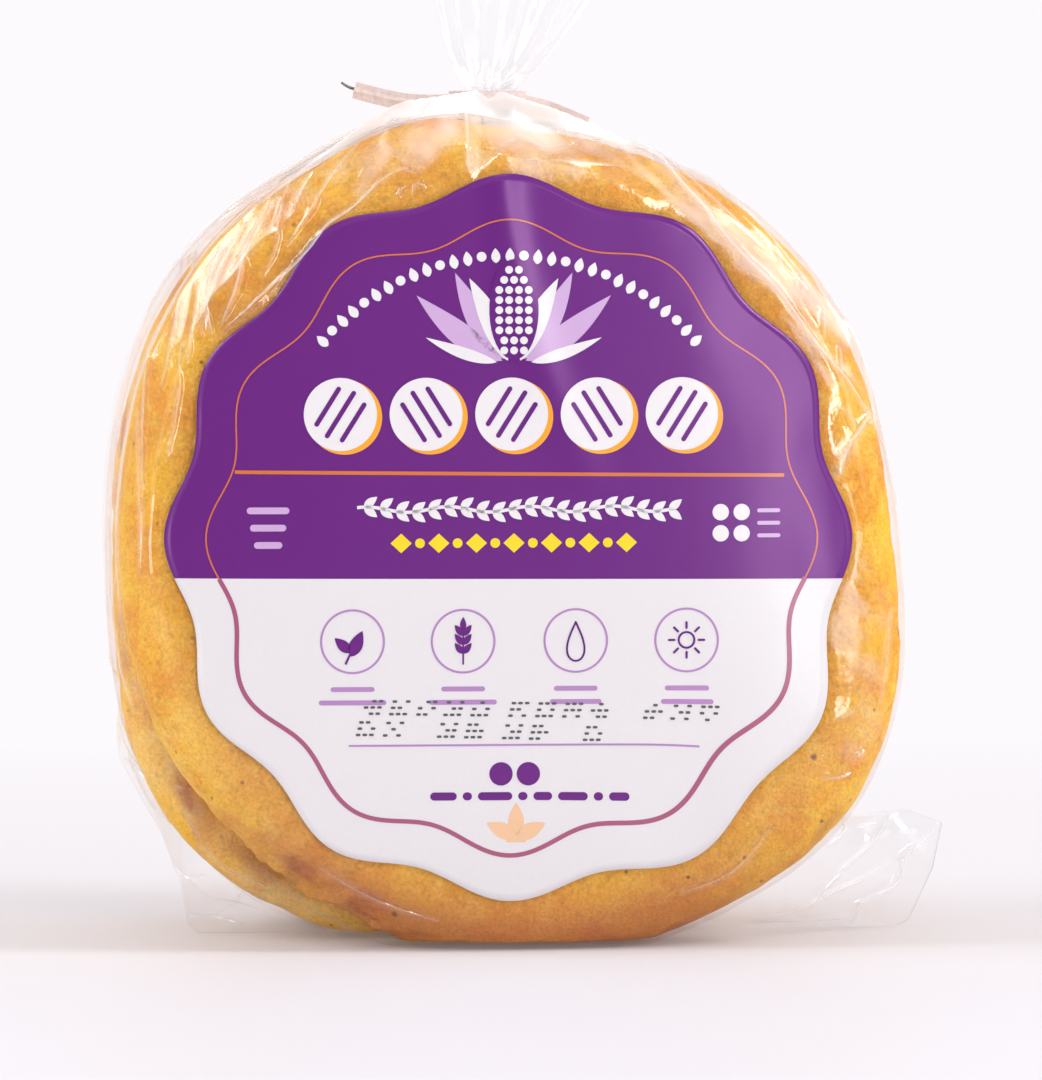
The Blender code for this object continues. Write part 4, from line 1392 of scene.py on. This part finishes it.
def make_stage():
    """A pale floor that curves up into a pale backdrop, which glows softly the further back it is."""
    material, tree, shader = new_material("studio_paper")
    where = place_at(tree)
    speckle = noise_node(tree, where, 0.02, 2)
    connect(tree, shader.inputs["Base Color"], ramp(tree, speckle, (0.3, (0.702, 0.680, 0.712)), (0.7, (0.707, 0.685, 0.717))))
    shader.inputs["Roughness"].default_value = 0.55
    depth = add(tree, "SeparateXYZ", Vector=where).outputs["Y"]
    further = ramp(tree, depth, (0.0, 0.11), (0.30, 1.0))
    glow = add(tree, "Emission", Color=(0.985, 0.955, 0.985, 1), Strength=1.0)
    both = add(tree, "MixShader", Fac=further)
    connect(tree, both.inputs[1], shader.outputs[0])
    connect(tree, both.inputs[2], glow.outputs[0])
    connect(tree, tree.nodes["Material Output"].inputs["Surface"], both.outputs[0])
    profile = [(-0.35, 0.0), (0.9, 0.0)]
    profile += [(0.9 + 1.2 * math.sin(t), 1.2 - 1.2 * math.cos(t)) for t in np.linspace(0.05, math.pi / 2, 24)]
    profile += [(2.1, 4.0)]
    points = np.array([[(x, y, z) for x in np.linspace(-4, 4, 3)] for y, z in profile])
    floor = make_object("studio_floor", points, grid_faces(len(profile), 3, False), material)


def make_light(name, place, target, width, height, power, colour=(1.0, 1.0, 1.0)):
    light = bpy.data.lights.new(name, "AREA")
    light.shape = "RECTANGLE"
    light.size = width
    light.size_y = height
    light.energy = power
    light.color = colour
    obj = bpy.data.objects.new(name, light)
    obj.location = place
    obj.rotation_euler = (Vector(target) - Vector(place)).to_track_quat("-Z", "Y").to_euler()
    bpy.context.scene.collection.objects.link(obj)


def make_lights():
    middle = (0.0, 0.0, CENTRE_HEIGHT)
    make_light("left_box", (-0.77, -0.08, 0.68), middle, 0.36, 0.45, 4.0)
    make_light("right_box", (0.66, -0.20, 0.62), middle, 0.22, 0.38, 3.9)
    make_light("left_low", (-0.95, -0.60, 0.25), middle, 0.6, 0.7, 1.5)
    make_light("right_low", (0.90, -0.60, 0.25), middle, 0.6, 0.7, 2.5)
    make_light("left_floor", (-0.30, -0.28, 0.035), (-0.035, -0.02, 0.02), 0.16, 0.05, 0.20)
    make_light("top_box", (0.0, -0.15, 1.0), middle, 0.4, 0.3, 0.8)
    make_light("front_top", (0.0, -1.0, 1.0), middle, 1.2, 0.8, 1.75)
    make_light("front_strip", (0.42, -1.24, 0.08), middle, 0.13, 1.2, 6.9)
    world = bpy.data.worlds.new("studio")
    world.use_nodes = True
    tree = world.node_tree
    direction = add(tree, "TexCoord").outputs["Generated"]
    forward = add(tree, "SeparateXYZ", Vector=direction).outputs["Y"]
    share = math_node(tree, "MULTIPLY_ADD", forward, 0.5)
    share.node.inputs[2].default_value = 0.5
    back = tree.nodes["Background"]
    back.inputs["Color"].default_value = (0.99, 0.965, 0.99, 1)
    connect(tree, back.inputs["Strength"], ramp(tree, share, (0.0, 0.22), (0.12, 0.24), (0.38, 0.42), (0.6, 0.60), (1.0, 0.76)))
    bpy.context.scene.world = world


CAMERA_DISTANCE = 0.85
CAMERA_YAW = math.radians(-5)
CAMERA_RISE = math.radians(3)
AIM = Vector((0.0018, -0.0270, 0.0528))
VIEW_HEIGHT = 0.1377  # how much of the plane through the aim the picture shows, top to bottom


def make_camera():
    data = bpy.data.cameras.new("camera")
    data.sensor_width = 36.0
    data.lens = 36.0 * CAMERA_DISTANCE / VIEW_HEIGHT
    data.clip_start = 0.01
    data.clip_end = 20
    camera = bpy.data.objects.new("camera", data)
    back = Vector((math.sin(CAMERA_YAW) * math.cos(CAMERA_RISE), -math.cos(CAMERA_YAW) * math.cos(CAMERA_RISE), math.sin(CAMERA_RISE)))
    camera.location = AIM + back * CAMERA_DISTANCE
    camera.rotation_mode = "QUATERNION"
    camera.rotation_quaternion = (-back).to_track_quat("-Z", "Y")
    bpy.context.scene.collection.objects.link(camera)
    bpy.context.scene.camera = camera


# ---------------------------------------------------------------- assembly


def belong(piece, slot, *nodes):
    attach(piece, "root")
    if nodes:
        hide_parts(*nodes)


make_camera()
make_stage()
make_lights()

dough = cake_material()
for number in range(CAKE_COUNT):
    belong(make_cake(number, dough), "cake", "bag")

film = film_material()
wrap, wrap_folds, wrap_haze_and_highlight, hole = make_film_sheet()
belong(make_wrap(wrap, wrap_haze_and_highlight, hole, film), "film", "bag")
belong(make_folds("film_folds", wrap, wrap_folds, film, (0.4, 0.5)), "film", "bag")
belong(make_tail(film), "film", "bag")
for corner in CORNERS:
    sheet, looks = make_corner_sheet(corner)
    faces = grid_faces(len(sheet.rows), len(sheet.columns), False)
    belong(make_object(f"film_corner_{corner}", sheet.points, faces, film, looks), "film", "bag")
    belong(make_folds(f"film_corner_{corner}_folds", sheet, CORNERS[corner]["folds"], film, (0.03, 0.01)), "film", "bag")

INKS = {
    "purple": (0.126, 0.0175, 0.188),
    "white": (0.755, 0.722, 0.745),
    "lilac": (0.56, 0.37, 0.62),
    "orange": (0.62, 0.16, 0.04),
    "amber": (0.90, 0.36, 0.03),
    "plum": (0.36, 0.09, 0.18),
    "yellow": (0.86, 0.62, 0.02),
    "soft_purple": (0.42, 0.22, 0.48),
    "grey": (0.11, 0.10, 0.11),
    "peach": (0.80, 0.50, 0.30),
}
inks = {name: ink_material(f"ink_{name}", colour) for name, colour in INKS.items() if name != "purple"}
inks["purple"] = ink_material("ink_purple", INKS["purple"], sheen=(1, 0.62, 1))
stock = ink_material("label_stock", (0.715, 0.688, 0.708))
belong(make_label(inks["purple"], stock), "label_print", "label")
belong(make_print(inks), "label_print", "label")

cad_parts["tie"].data.materials.clear()
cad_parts["tie"].data.materials.append(tie_material())
belong(make_wire_tip(wire_material()), "tie_strip")

scene = bpy.context.scene
scene.view_settings.view_transform = "Standard"
